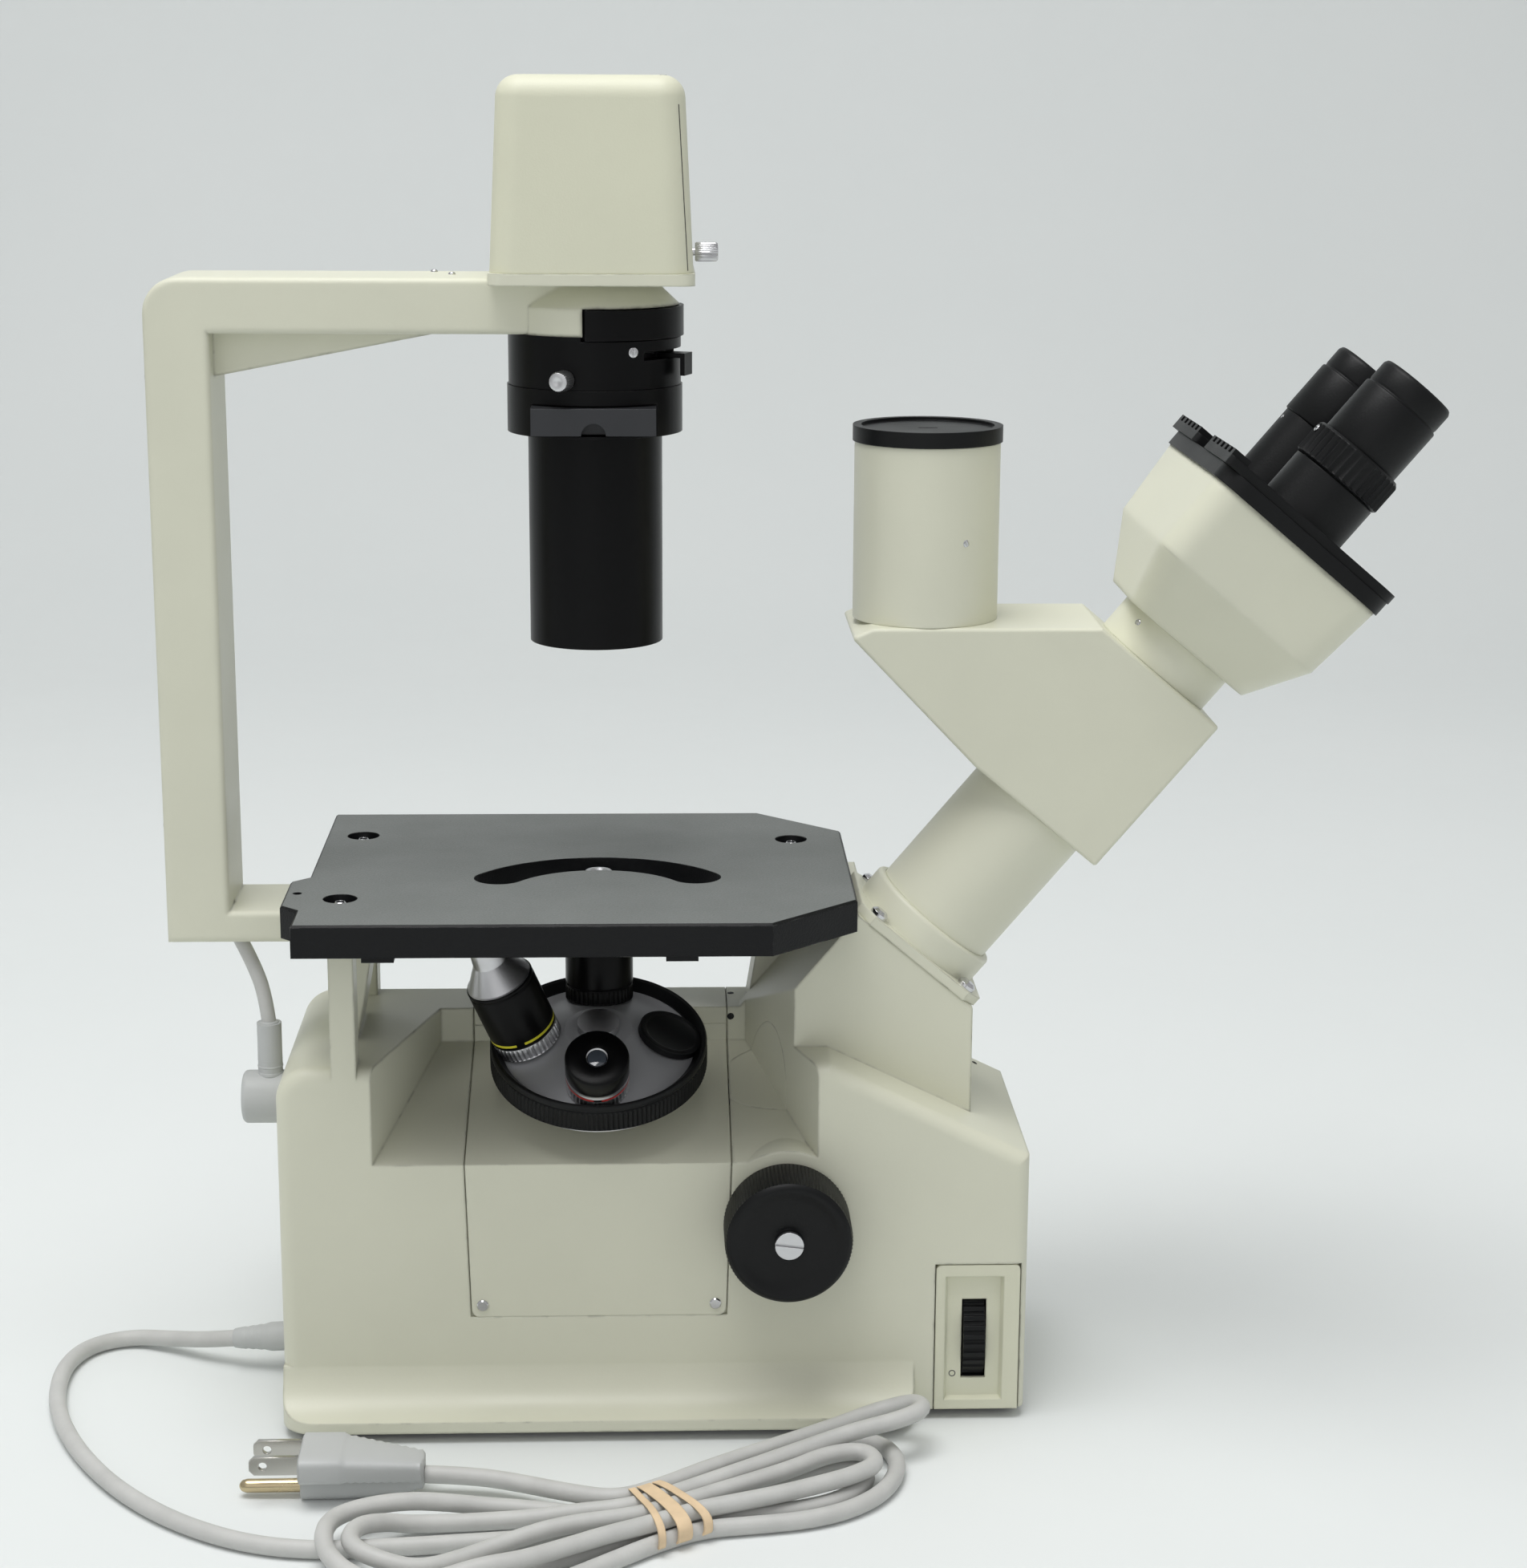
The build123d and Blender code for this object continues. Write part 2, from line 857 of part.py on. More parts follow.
# Covers
with BuildPart() as recess_cover:
    add(
        bent_cover(
            recess_cover_path,
            cover_half_width,
            cover_foot_half_width,
            0,
            0,
            cover_thickness,
            cover_corner_radius,
        )
    )
    with BuildSketch(level(cover_seam_height, 0, nose_column_y)):
        Circle(nose_column_radius + 3 * air_gap)
    extrude(amount=deck_height(-base_half_width) - cover_seam_height, mode=Mode.SUBTRACT)
    with BuildSketch(side_plane(-base_half_width)):
        with Locations((-cover_screw_x, cover_screw_height), (cover_screw_x, cover_screw_height)):
            Circle(small_screw_radius)
    extrude(amount=-cover_thickness, mode=Mode.SUBTRACT)

with BuildPart() as far_cover:
    add(
        bent_cover(
            far_cover_path, cover_half_width, cover_half_width, 0, 0, cover_thickness, cover_corner_radius
        )
    )
    far_corner = far_cover.edges().filter_by(Axis.X).sort_by(Axis.Y)[-4:].sort_by(Axis.Z)[-1]
    fillet(far_corner, base_edge_radius)
    with BuildSketch(side_plane(base_half_width)):
        with Locations((-cover_screw_x, cover_screw_height), (cover_screw_x, cover_screw_height)):
            Circle(small_screw_radius)
    extrude(amount=cover_thickness, mode=Mode.SUBTRACT)

# Bottom plate with the wedge that carries the mirror, and the rubber feet
mirror_tilt = radians(90 - neck_angle) / 2
wedge_half = mirror_size / 2 * cos(mirror_tilt)
with BuildPart() as bottom_plate:
    with BuildSketch(level(base_bottom - plate_thickness)):
        RectangleRounded(
            2 * (flange_end - plate_inset),
            2 * (flange_half_width - plate_inset),
            flange_corner_radius - plate_inset,
        )
        with Locations(((base_right - base_left) / 2, 0)):
            Rectangle(base_left + base_right - 2 * plate_inset, 2 * (base_half_width - plate_inset))
    extrude(amount=plate_thickness)
    with BuildSketch(side_plane()):
        with BuildLine():
            drop = mirror_thickness / cos(mirror_tilt)
            Polyline(
                (-wedge_half, base_bottom - plate_thickness / 2),
                (-wedge_half, mirror_height + wedge_half * tan(mirror_tilt) - drop),
                (wedge_half, mirror_height - wedge_half * tan(mirror_tilt) - drop),
                (wedge_half, base_bottom - plate_thickness / 2),
                close=True,
            )
        make_face()
    extrude(amount=mirror_width / 2 - 2, both=True)

with BuildPart() as light_path_mirror:
    mirror_plane = Plane(
        origin=(optical_x, 0, mirror_height),
        x_dir=(cos(mirror_tilt), 0, -sin(mirror_tilt)),
        z_dir=(sin(mirror_tilt), 0, cos(mirror_tilt)),
    )
    with BuildSketch(mirror_plane):
        Rectangle(mirror_size, mirror_width)
    extrude(amount=-mirror_thickness)

with BuildPart() as rubber_feet:
    with BuildSketch(level(0)):
        with GridLocations(2 * foot_x, 2 * foot_y, 2, 2):
            Circle(foot_radius)
    extrude(amount=base_bottom - plate_thickness)
    fillet(rubber_feet.faces().sort_by(Axis.Z)[:4].edges(), (base_bottom - plate_thickness) / 3)

# Brightness panel, dial and dimmer board
dial_y = dial_front_y + dial_radius
dial_height = (panel_window_top + panel_window_foot) / 2
dial_left = panel_window_left + dial_side_gap
dial_right = panel_window_right - dial_side_gap

with BuildPart() as control_panel:
    with BuildSketch(side_plane(-base_half_width)):
        with Locations(((panel_left + panel_right) / 2, (base_bottom + panel_top) / 2)):
            Rectangle(panel_right - panel_left, panel_top - base_bottom)
    extrude(amount=-panel_thickness)
    fillet(control_panel.edges().filter_by(Axis.Y).sort_by(Axis.Z)[-2:], panel_corner_radius)
    with BuildSketch(side_plane(-base_half_width)):
        with Locations(((panel_sunk_left + panel_sunk_right) / 2, (panel_sunk_top + panel_sunk_foot) / 2)):
            Rectangle(panel_sunk_right - panel_sunk_left, panel_sunk_top - panel_sunk_foot)
    extrude(amount=-panel_sunk_depth, taper=20, mode=Mode.SUBTRACT)
    with BuildSketch(side_plane(-base_half_width)):
        with Locations(((panel_window_left + panel_window_right) / 2, dial_height)):
            Rectangle(panel_window_right - panel_window_left, panel_window_top - panel_window_foot)
    extrude(amount=-panel_thickness, mode=Mode.SUBTRACT)

with BuildPart() as brightness_dial:
    add(
        fluted(
            Plane(
                origin=(optical_x + dial_left, dial_y, dial_height),
                x_dir=(0, 1, 0),
                z_dir=(1, 0, 0),
            ),
            dial_radius,
            dial_right - dial_left,
            dial_flute_count,
            0.9,
        )
    )
    with BuildSketch(cross_plane(dial_left)):
        with Locations((dial_y, dial_height)):
            Circle(dial_shaft_radius)
    extrude(amount=-(dial_left - board_x - 2))

with BuildPart() as dimmer_board:
    with BuildSketch(cross_plane(board_x)):
        with Locations((dial_y + 3, (base_bottom + 56) / 2)):
            Rectangle(30, 56 - base_bottom)
    extrude(amount=-board_thickness)
    with BuildSketch(cross_plane(board_x)):
        with Locations((dial_y, dial_height)):
            Circle(pot_radius)
    extrude(amount=pot_radius)
    with BuildSketch(cross_plane(board_x + 1)):
        with Locations((dial_y, dial_height)):
            Circle(dial_shaft_radius + running_fit)
    extrude(amount=pot_radius, mode=Mode.SUBTRACT)
    with BuildSketch(cross_plane(board_x - board_thickness)):
        with Locations((dial_y + 8, dial_height - 12)):
            Circle(5)
        with Locations((dial_y - 3, dial_height + 12)):
            Rectangle(10, 14)
    extrude(amount=-10)

# Power transformer: laminated core round a winding
with BuildPart() as power_transformer:
    transformer_middle = base_bottom + transformer_height / 2
    window_width = (transformer_length - 2 * transformer_core) / 2
    with BuildSketch(side_plane(transformer_y)):
        with Locations((transformer_x, transformer_middle)):
            Rectangle(transformer_length, transformer_height)
            with GridLocations(transformer_core + window_width, 0, 2, 1):
                Rectangle(window_width, transformer_height - transformer_core, mode=Mode.SUBTRACT)
    extrude(amount=transformer_stack / 2, both=True)
    with BuildSketch(level(transformer_middle, transformer_x, transformer_y)):
        RectangleRounded(
            transformer_core + 2 * window_width - 2 * face_gap, transformer_winding, 4
        )
        Rectangle(transformer_core + face_gap, transformer_stack + face_gap, mode=Mode.SUBTRACT)
    extrude(amount=(transformer_height - transformer_core) / 2 - face_gap, both=True)

# Stage
slot_line = CenterArc((0, slot_centre_y), slot_mean_radius, 90 - slot_half_angle, 2 * slot_half_angle)
with BuildPart() as stage_plate:
    with BuildSketch(level(stage_top - stage_thickness)):
        with BuildLine():
            Polyline(
                (-stage_left, -stage_half_width),
                (stage_chamfer_start, -stage_half_width),
                (stage_right, -stage_front_half_width),
                (stage_right, stage_front_half_width),
                (stage_chamfer_start, stage_half_width),
                (-stage_left, stage_half_width),
                (-stage_left, -stage_tab_far),
                (-stage_left - stage_tab_depth, -stage_tab_far - stage_tab_slant),
                (-stage_left - stage_tab_depth, -stage_tab_near + stage_tab_slant),
                (-stage_left, -stage_tab_near),
                close=True,
            )
        make_face()
    extrude(amount=stage_thickness)
    with BuildSketch(level(stage_top)):
        SlotArc(slot_line, slot_width)
    extrude(amount=-stage_thickness, mode=Mode.SUBTRACT)
    top_rim = stage_plate.faces().sort_by(Axis.Z)[-1].outer_wire().edges()
    chamfer(top_rim, stage_edge_chamfer)
    with Locations(
        level(stage_top, -stage_screw_rear_x, -stage_screw_rear_y),
        level(stage_top, -stage_screw_rear_x, stage_screw_rear_y),
        level(stage_top, stage_screw_front_x, stage_screw_front_y),
    ):
        CounterBoreHole(
            stage_screw_radius, stage_counterbore_radius, stage_counterbore_depth, stage_thickness
        )
    with Locations(
        level(stage_top, -stage_left - 2, -(stage_tab_near + stage_tab_far) / 2)
    ):
        Hole(stage_tab_hole_radius, stage_thickness)
    with BuildSketch(level(stage_top - stage_thickness)):
        with Locations((-73.5, -stage_half_width + 7), (29.5, -stage_half_width + 7)):
            Rectangle(stage_pad_length, stage_pad_width)
    extrude(amount=-stage_pad_height)

with BuildPart() as stage_screws:
    for x, y in (
        (-stage_screw_rear_x, -stage_screw_rear_y),
        (-stage_screw_rear_x, stage_screw_rear_y),
        (stage_screw_front_x, stage_screw_front_y),
    ):
        head_seat = stage_top - stage_counterbore_depth
        add(
            screw(
                level(head_seat, x, y),
                stage_screw_radius,
                stage_thickness - stage_counterbore_depth + 9,
                stage_screw_head_radius,
                stage_screw_head_height,
            )
        )
        with Locations(level(head_seat + stage_screw_head_height, x, y)):
            Hole(stage_screw_radius * 0.75, stage_screw_head_height / 2)

# Neck collar, its screws and the inclined tube
with BuildPart() as neck_collar:
    with BuildSketch(axis_plane(neck_top)) as collar_outline:
        Rectangle(2 * collar_flange_half, 2 * collar_flange_half_y)
        chamfer(collar_outline.vertices(), collar_flange_chamfer)
    extrude(amount=collar_flange_thickness)
    with BuildSketch(axis_plane(neck_top + collar_flange_thickness)):
        Circle(collar_radius)
    extrude(amount=collar_top - neck_top - collar_flange_thickness)
    crown = neck_collar.edges().filter_by(GeomType.CIRCLE).sort_by(
        Axis(axis_plane(neck_top).origin, axis_plane(neck_top).z_dir)
    )[-1]
    fillet(crown, collar_fillet / 2)
    with BuildSketch(axis_plane(neck_top)):
        Circle(light_bore_radius)
    extrude(amount=collar_top - neck_top, mode=Mode.SUBTRACT)
    with BuildSketch(axis_plane(inclined_tube_foot)):
        Circle(inclined_tube_radius + running_fit)
    extrude(amount=collar_top - inclined_tube_foot, mode=Mode.SUBTRACT)
    with BuildSketch(axis_plane(neck_top)):
        with GridLocations(2 * collar_screw_spread_n, 2 * collar_screw_spread_y, 2, 2):
            Circle(dome_screw_shank)
    extrude(amount=collar_flange_thickness, mode=Mode.SUBTRACT)

with BuildPart() as neck_screws:
    for n in (-collar_screw_spread_n, collar_screw_spread_n):
        for y in (-collar_screw_spread_y, collar_screw_spread_y):
            add(
                screw(
                    axis_plane(neck_top + collar_flange_thickness, n, y),
                    dome_screw_shank,
                    collar_flange_thickness + dome_screw_length - 1,
                    dome_screw_radius,
                    dome_screw_radius * 0.75,
                )
            )

with BuildPart() as inclined_tube:
    tube_length = inclined_tube_top - inclined_tube_foot
    add(
        turned(
            axis_plane(inclined_tube_foot),
            [
                (light_bore_radius, 0),
                (inclined_tube_radius, 0),
                (inclined_tube_radius, tube_length),
                (light_bore_radius, tube_length),
            ],
        )
    )

# Prism housing: flat sided shell on the inclined tube
housing_back_n = 30.6
housing_front_n = 26.3
roof_n = (
    mirror_height + head_ring_start * sin(rest_angle) - housing_roof_height
) / cos(rest_angle)
housing_outline = [
    (housing_roof_left, housing_roof_height),
    (housing_tip_left, housing_tip_height),
    axis_point(inclined_tube_top, -housing_back_n),
    axis_point(inclined_tube_top, housing_front_n),
    axis_point(head_ring_start, housing_front_n),
    axis_point(head_ring_start, roof_n),
]
with BuildPart() as prism_housing:
    with BuildSketch(side_plane()):
        with BuildLine():
            Polyline(*housing_outline, close=True)
        make_face()
    extrude(amount=housing_half_width, both=True)
    fillet(prism_housing.edges(), housing_edge_radius)
    with BuildSketch(side_plane()):
        with BuildLine():
            Polyline(*housing_outline, close=True)
        make_face()
        offset(amount=-housing_wall, kind=Kind.INTERSECTION)
    extrude(amount=housing_half_width - housing_wall, both=True, mode=Mode.SUBTRACT)
    with BuildSketch(axis_plane(inclined_tube_top)):
        Circle(light_bore_radius)
    extrude(amount=housing_wall + 1, mode=Mode.SUBTRACT)
    with BuildSketch(axis_plane(head_ring_start)):
        Circle(light_bore_radius - 2)
    extrude(amount=-housing_wall - 1, mode=Mode.SUBTRACT)
    with BuildSketch(level(housing_roof_height, phototube_x)):
        Circle(phototube_radius - phototube_wall)
    extrude(amount=-housing_wall - 1, mode=Mode.SUBTRACT)

with BuildPart() as phototube:
    add(
        turned(
            level(housing_roof_height, phototube_x),
            [
                (phototube_radius - phototube_wall, 0),
                (phototube_radius, 0),
                (phototube_radius, phototube_top - housing_roof_height),
                (phototube_radius - phototube_wall, phototube_top - housing_roof_height),
            ],
        )
    )

with BuildPart() as phototube_cap:
    cap_plug = phototube_radius - phototube_wall - running_fit
    dish = phototube_cap_thickness - phototube_cap_recess
    add(
        turned(
            level(phototube_top, phototube_x),
            [
                (0, -phototube_plug_depth),
                (cap_plug, -phototube_plug_depth),
                (cap_plug, 0),
                (phototube_cap_radius, 0),
                (phototube_cap_radius, phototube_cap_thickness),
                (phototube_cap_radius - 3, phototube_cap_thickness),
                (phototube_cap_radius - 3, dish),
                (0, dish),
            ],
        )
    )
    with BuildSketch(level(phototube_top + dish, phototube_x)):
        SlotOverall(7, 1.6)
    extrude(amount=-1, mode=Mode.SUBTRACT)

# Prisms of the beam path, held between the side walls of the housing and head
with BuildPart() as beam_prisms:
    prism_width = 2 * (housing_half_width - housing_wall)
    with BuildSketch(side_plane()):
        with BuildLine():
            Polyline(
                axis_point(tube_prism_start, -tube_prism_half),
                axis_point(tube_prism_start, tube_prism_half),
                axis_point(tube_prism_end, tube_prism_half),
                axis_point(tube_prism_end, -tube_prism_half),
                close=True,
            )
        make_face()
    extrude(amount=prism_width / 2, both=True)
    with BuildSketch(side_plane()):
        with BuildLine():
            Polyline(
                (phototube_x - 13, 274),
                (phototube_x + 15, 274),
                (phototube_x + 15, 252),
                close=True,
            )
        make_face()
    extrude(amount=prism_width / 2, both=True)

# Binocular head
with BuildPart() as head_ring:
    ring_height = head_body_start - head_ring_start
    add(
        turned(
            axis_plane(head_ring_start),
            [
                (light_bore_radius - 2, 0),
                (head_ring_radius, 0),
                (head_ring_radius, ring_height),
                (light_bore_radius - 2, ring_height),
            ],
        )
    )


def head_form(inset, foot, top):
    """Flaring body of the head between two lengths of the neck axis, moved in by inset."""
    sections = (
        (foot, head_foot_back, head_foot_front, head_foot_half_width),
        (head_shoulder, head_back - 1.5, head_front - 1, head_half_width - 5),
        (top, head_back, head_front, head_half_width),
    )
    with BuildPart() as form:
        for along, back, front, half_width in sections:
            with BuildSketch(axis_plane(along, (front - back) / 2)):
                RectangleRounded(
                    back + front - 2 * inset, 2 * (half_width - inset), head_corner_radius - inset
                )
        loft(ruled=True)
    return form.part


with BuildPart() as head_body:
    add(head_form(0, head_body_start, head_body_top))
    add(head_form(head_wall, head_body_start + head_wall, head_body_top), mode=Mode.SUBTRACT)
    with BuildSketch(axis_plane(head_body_start)):
        Circle(light_bore_radius - 2)
    extrude(amount=head_wall + 1, mode=Mode.SUBTRACT)

with BuildPart() as head_face_plate:
    with BuildSketch(axis_plane(head_body_top, (head_front - head_back) / 2)):
        RectangleRounded(
            head_back + head_front + 2 * face_plate_lip,
            2 * (head_half_width + face_plate_lip),
            head_corner_radius + face_plate_lip,
        )
    extrude(amount=face_plate_thickness)
    for side in (-1, 1):
        with BuildSketch(axis_plane(head_body_top, eyepiece_n, side * eyepiece_spacing / 2)):
            SlotCenterToCenter(2 * slide_travel, 2 * (eyepiece_tube_radius + air_gap), rotation=90)
        extrude(amount=face_plate_thickness, mode=Mode.SUBTRACT)

slide_foot = head_body_top + face_plate_thickness


def eyepiece_slide(side, tube_top, collar_height):
    """Slide with its ribbed grip and eyepiece tube; side -1 is the user's left."""
    y = side * eyepiece_spacing / 2
    with BuildPart() as slide:
        middle = (slide_plate_front - slide_plate_back) / 2
        with BuildSketch(axis_plane(slide_foot, middle, y)) as outline:
            Rectangle(slide_plate_back + slide_plate_front, 2 * slide_plate_half_width)
            fillet(outline.vertices().group_by(Axis.X)[-1], 9)
            fillet(outline.vertices().group_by(Axis.X)[0], 2)
        extrude(amount=slide_plate_thickness)
        with BuildSketch(
            axis_plane(
                slide_foot + slide_plate_thickness, -slide_plate_back + slide_grip_length / 2, y
            )
        ):
            with GridLocations(0, 2 * slide_plate_half_width / slide_grip_ribs, 1, slide_grip_ribs):
                Rectangle(slide_grip_length, slide_plate_half_width / slide_grip_ribs)
        extrude(amount=slide_grip_height)
        with BuildSketch(axis_plane(head_body_top, eyepiece_n, y)):
            Circle(eyepiece_tube_radius)
        extrude(amount=tube_top - head_body_top)
        if collar_height:
            with BuildSketch(axis_plane(slide_foot + slide_plate_thickness, eyepiece_n, y)):
                Circle(left_collar_radius)
            extrude(amount=collar_height)
        with BuildSketch(axis_plane(head_body_top, eyepiece_n, y)):
            Circle(eyepiece_tube_bore)
        extrude(amount=tube_top - head_body_top, mode=Mode.SUBTRACT)
    return slide.part


right_tube_top = 411.0
left_barrel_foot = 408.0
with BuildPart() as left_eyepiece_slide:
    add(eyepiece_slide(-1, eyepiece_tube_top, diopter_foot - slide_foot - slide_plate_thickness - face_gap))
with BuildPart() as right_eyepiece_slide:
    add(eyepiece_slide(1, right_tube_top, 0))


def eyepiece(side, barrel_foot, drop):
    """Eyepiece: plug, barrel and eye cap, with its eye lens as a second solid."""
    base = axis_plane(barrel_foot, eyepiece_n, side * eyepiece_spacing / 2)
    barrel_top = eyepiece_barrel_top - drop - barrel_foot
    cap_top = eyepiece_cap_top - drop - barrel_foot
    plug = eyepiece_tube_bore - running_fit
    with BuildPart() as ocular:
        add(
            turned(
                base,
                [
                    (plug - 1.5, -14),
                    (plug, -14),
                    (plug, 0),
                    (eyepiece_barrel_radius, 0),
                    (eyepiece_barrel_radius, barrel_top),
                    (eyepiece_cap_radius, barrel_top),
                    (eyepiece_cap_radius, cap_top - 1),
                    (eyepiece_cap_radius - 1, cap_top),
                    (eye_lens_radius + 1, cap_top),
                    (eye_lens_radius, cap_top - 3),
                    (plug - 1.5, cap_top - 3),
                ],
            )
        )
        lens_foot = cap_top - 9
        add(
            turned(
                base,
                [
                    (0, lens_foot),
                    (plug - 1.5 - running_fit, lens_foot),
                    (plug - 1.5 - running_fit, lens_foot + 4),
                    (0, lens_foot + 5),
                ],
            )
        )
    return ocular.part


with BuildPart() as left_eyepiece:
    add(eyepiece(-1, left_barrel_foot, 0))
with BuildPart() as right_eyepiece:
    add(eyepiece(1, right_tube_top, right_eyepiece_drop))

with BuildPart() as diopter_ring:
    diopter_plane = axis_plane(diopter_foot, eyepiece_n, -eyepiece_spacing / 2)
    add(fluted(diopter_plane, diopter_radius, diopter_height, diopter_flute_count, 0.6))
    add(
        turned(
            diopter_plane,
            [
                (0, 0),
                (eyepiece_tube_radius + running_fit, 0),
                (eyepiece_tube_radius + running_fit, 3),
                (eyepiece_barrel_radius + air_gap, 3),
                (eyepiece_barrel_radius + air_gap, diopter_height),
                (0, diopter_height),
            ],
        ),
        mode=Mode.SUBTRACT,
    )

# Illumination arm
arm_inner_x = arm_back - arm_leg_width
beam_foot = arm_beam_top - arm_beam_height
arm_foot_top = arm_foot_height + arm_foot_thickness
with BuildPart() as illumination_arm:
    with BuildSketch(side_plane()) as arm_outline:
        with BuildLine():
            Polyline(
                (-arm_back, arm_foot_height),
                (-pedestal_top_right, arm_foot_height),
                (-pedestal_top_right, arm_foot_top),
                (-arm_inner_x, arm_foot_top),
                (-arm_inner_x, beam_foot),
                (0, beam_foot),
                (0, arm_beam_top),
                (-arm_back, arm_beam_top),
                close=True,
            )
        make_face()
        outer_corners = arm_outline.vertices().group_by(Axis.X)[0].sort_by(Axis.Y)
        inner_corners = arm_outline.vertices().group_by(Axis.X)[1]
        fillet(outer_corners[-1], arm_outer_radius)
        fillet(outer_corners[0], arm_lower_radius)
        fillet(inner_corners, arm_inner_radius)
    extrude(amount=arm_half_width, both=True)
    long_faces = illumination_arm.faces().filter_by(Axis.Y)
    fillet([e for f in long_faces for e in f.edges() if e.center().X < optical_x - 1], 2)
    with BuildSketch(side_plane()):
        with BuildLine():
            Polyline(
                (-arm_inner_x - 1, arm_rib_start_height),
                (-arm_inner_x - 1, beam_foot + 1),
                (-arm_rib_end, beam_foot + 1),
                (-arm_rib_end, beam_foot),
                (-arm_inner_x + 1.6, arm_rib_start_height),
                close=True,
            )
        make_face()
    extrude(amount=arm_rib_half_width, both=True)
    # Boss over the condenser: cone above, half skirt below
    add(
        turned(
            level(boss_foot),
            [
                (0, 0),
                (boss_radius, 0),
                (boss_radius, boss_cone_start - boss_foot),
                (boss_cone_top_radius, arm_plate_step - boss_foot),
                (0, arm_plate_step - boss_foot),
            ],
        )
    )
    with BuildSketch(level(arm_plate_step, -lamp_plate_left + 40)):
        Rectangle(80, 2 * arm_half_width + 2)
    extrude(amount=arm_beam_top - arm_plate_step, mode=Mode.SUBTRACT)
    with BuildSketch(level(boss_cut_height)):
        Circle(boss_radius - boss_skirt_wall)
    extrude(amount=-(boss_cut_height - beam_foot), mode=Mode.SUBTRACT)
    with BuildSketch(level(boss_cut_height, boss_cut_x + 40)):
        Rectangle(80, 2 * boss_radius + 4)
    extrude(amount=-(boss_cut_height - beam_foot), mode=Mode.SUBTRACT)
    with BuildSketch(level(boss_cut_height)):
        Circle(boss_bore_radius)
    extrude(amount=arm_plate_step - boss_cut_height, mode=Mode.SUBTRACT)
    # Cable channel, open to the rear, and the rebate of its cover
    with BuildSketch(cross_plane(-arm_back)):
        with Locations((0, (arm_channel_foot + arm_channel_top) / 2)):
            Rectangle(2 * arm_channel_half_width, arm_channel_top - arm_channel_foot)
    extrude(amount=arm_channel_depth, mode=Mode.SUBTRACT)
    with BuildSketch(cross_plane(-arm_back)):
        with Locations((0, (arm_channel_foot + arm_channel_top) / 2)):
            Rectangle(
                2 * (arm_channel_half_width + arm_cover_lap) + face_gap,
                arm_channel_top - arm_channel_foot + 2 * arm_cover_lap + face_gap,
            )
    extrude(amount=arm_cover_thickness, mode=Mode.SUBTRACT)
    with BuildSketch(level(204, -arm_back + arm_channel_depth - 5, -3)):
        Rectangle(14, 12)
    extrude(amount=10)
    with BuildSketch(
        Plane(
            origin=(optical_x - 125, -12.6, 165.5),
            z_dir=(-13.5, 7.6, 23.5),
        )
    ):
        Circle(lead_radius + 3 * air_gap)
    extrude(amount=34, mode=Mode.SUBTRACT)

with BuildPart() as arm_rear_cover:
    with BuildSketch(cross_plane(-arm_back)):
        with Locations((0, (arm_channel_foot + arm_channel_top) / 2)):
            Rectangle(
                2 * (arm_channel_half_width + arm_cover_lap) - face_gap,
                arm_channel_top - arm_channel_foot + 2 * arm_cover_lap - face_gap,
            )
    extrude(amount=arm_cover_thickness)

# Lamp house
lamp_plate_top = arm_plate_step + lamp_plate_thickness
with BuildPart() as lamp_base_plate:
    with BuildSketch(level(arm_plate_step, (lamp_plate_right - lamp_plate_left) / 2)):
        RectangleRounded(
            lamp_plate_left + lamp_plate_right, 2 * lamp_plate_half_width, lamp_plate_corner
        )
    extrude(amount=lamp_plate_thickness)
    with BuildSketch(level(arm_plate_step)):
        Circle(boss_bore_radius)
    extrude(amount=lamp_plate_thickness, mode=Mode.SUBTRACT)
    with BuildSketch(level(lamp_plate_top, 27.5)):
        Rectangle(4, 10)
    extrude(amount=thumb_screw_height - lamp_plate_top + 4)
    with BuildSketch(cross_plane(20)):
        with Locations((0, thumb_screw_height)):
            Circle(thumb_screw_shank + running_fit)
    extrude(amount=12, mode=Mode.SUBTRACT)


def lamp_cover_form(inset, top):
    """Drafted box of the lamp house, moved in by inset."""
    foot_left = lamp_plate_left - lamp_cover_inset - inset
    foot_right = lamp_plate_right - lamp_cover_inset - inset
    half_width = lamp_plate_half_width - lamp_cover_inset - inset
    with BuildPart() as form:
        for height, draft in ((lamp_plate_top, 0), (top, lamp_cover_draft)):
            with BuildSketch(level(height, (foot_right - foot_left) / 2)):
                RectangleRounded(
                    foot_left + foot_right - 2 * draft,
                    2 * (half_width - draft),
                    lamp_cover_corner - inset,
                )
        loft()
        fillet(form.faces().sort_by(Axis.Z)[-1].edges(), lamp_cover_top_radius - inset)
    return form.part


with BuildPart() as lamp_cover:
    add(lamp_cover_form(0, lamp_cover_top))
    add(lamp_cover_form(lamp_cover_wall, lamp_cover_top - lamp_cover_wall), mode=Mode.SUBTRACT)
    with BuildSketch(cross_plane(20)):
        with Locations((0, thumb_screw_height)):
            Circle(thumb_screw_shank + running_fit)
    extrude(amount=20, mode=Mode.SUBTRACT)

with BuildPart() as thumb_screw:
    screw_face = lamp_plate_right + face_gap
    screw_plane = Plane(
        origin=(optical_x + screw_face, 0, thumb_screw_height), x_dir=(0, 1, 0), z_dir=(1, 0, 0)
    )
    add(fluted(screw_plane, thumb_screw_radius, thumb_screw_length, 18, 0.35))
    with BuildSketch(screw_plane):
        Circle(thumb_screw_shank)
    extrude(amount=-9)

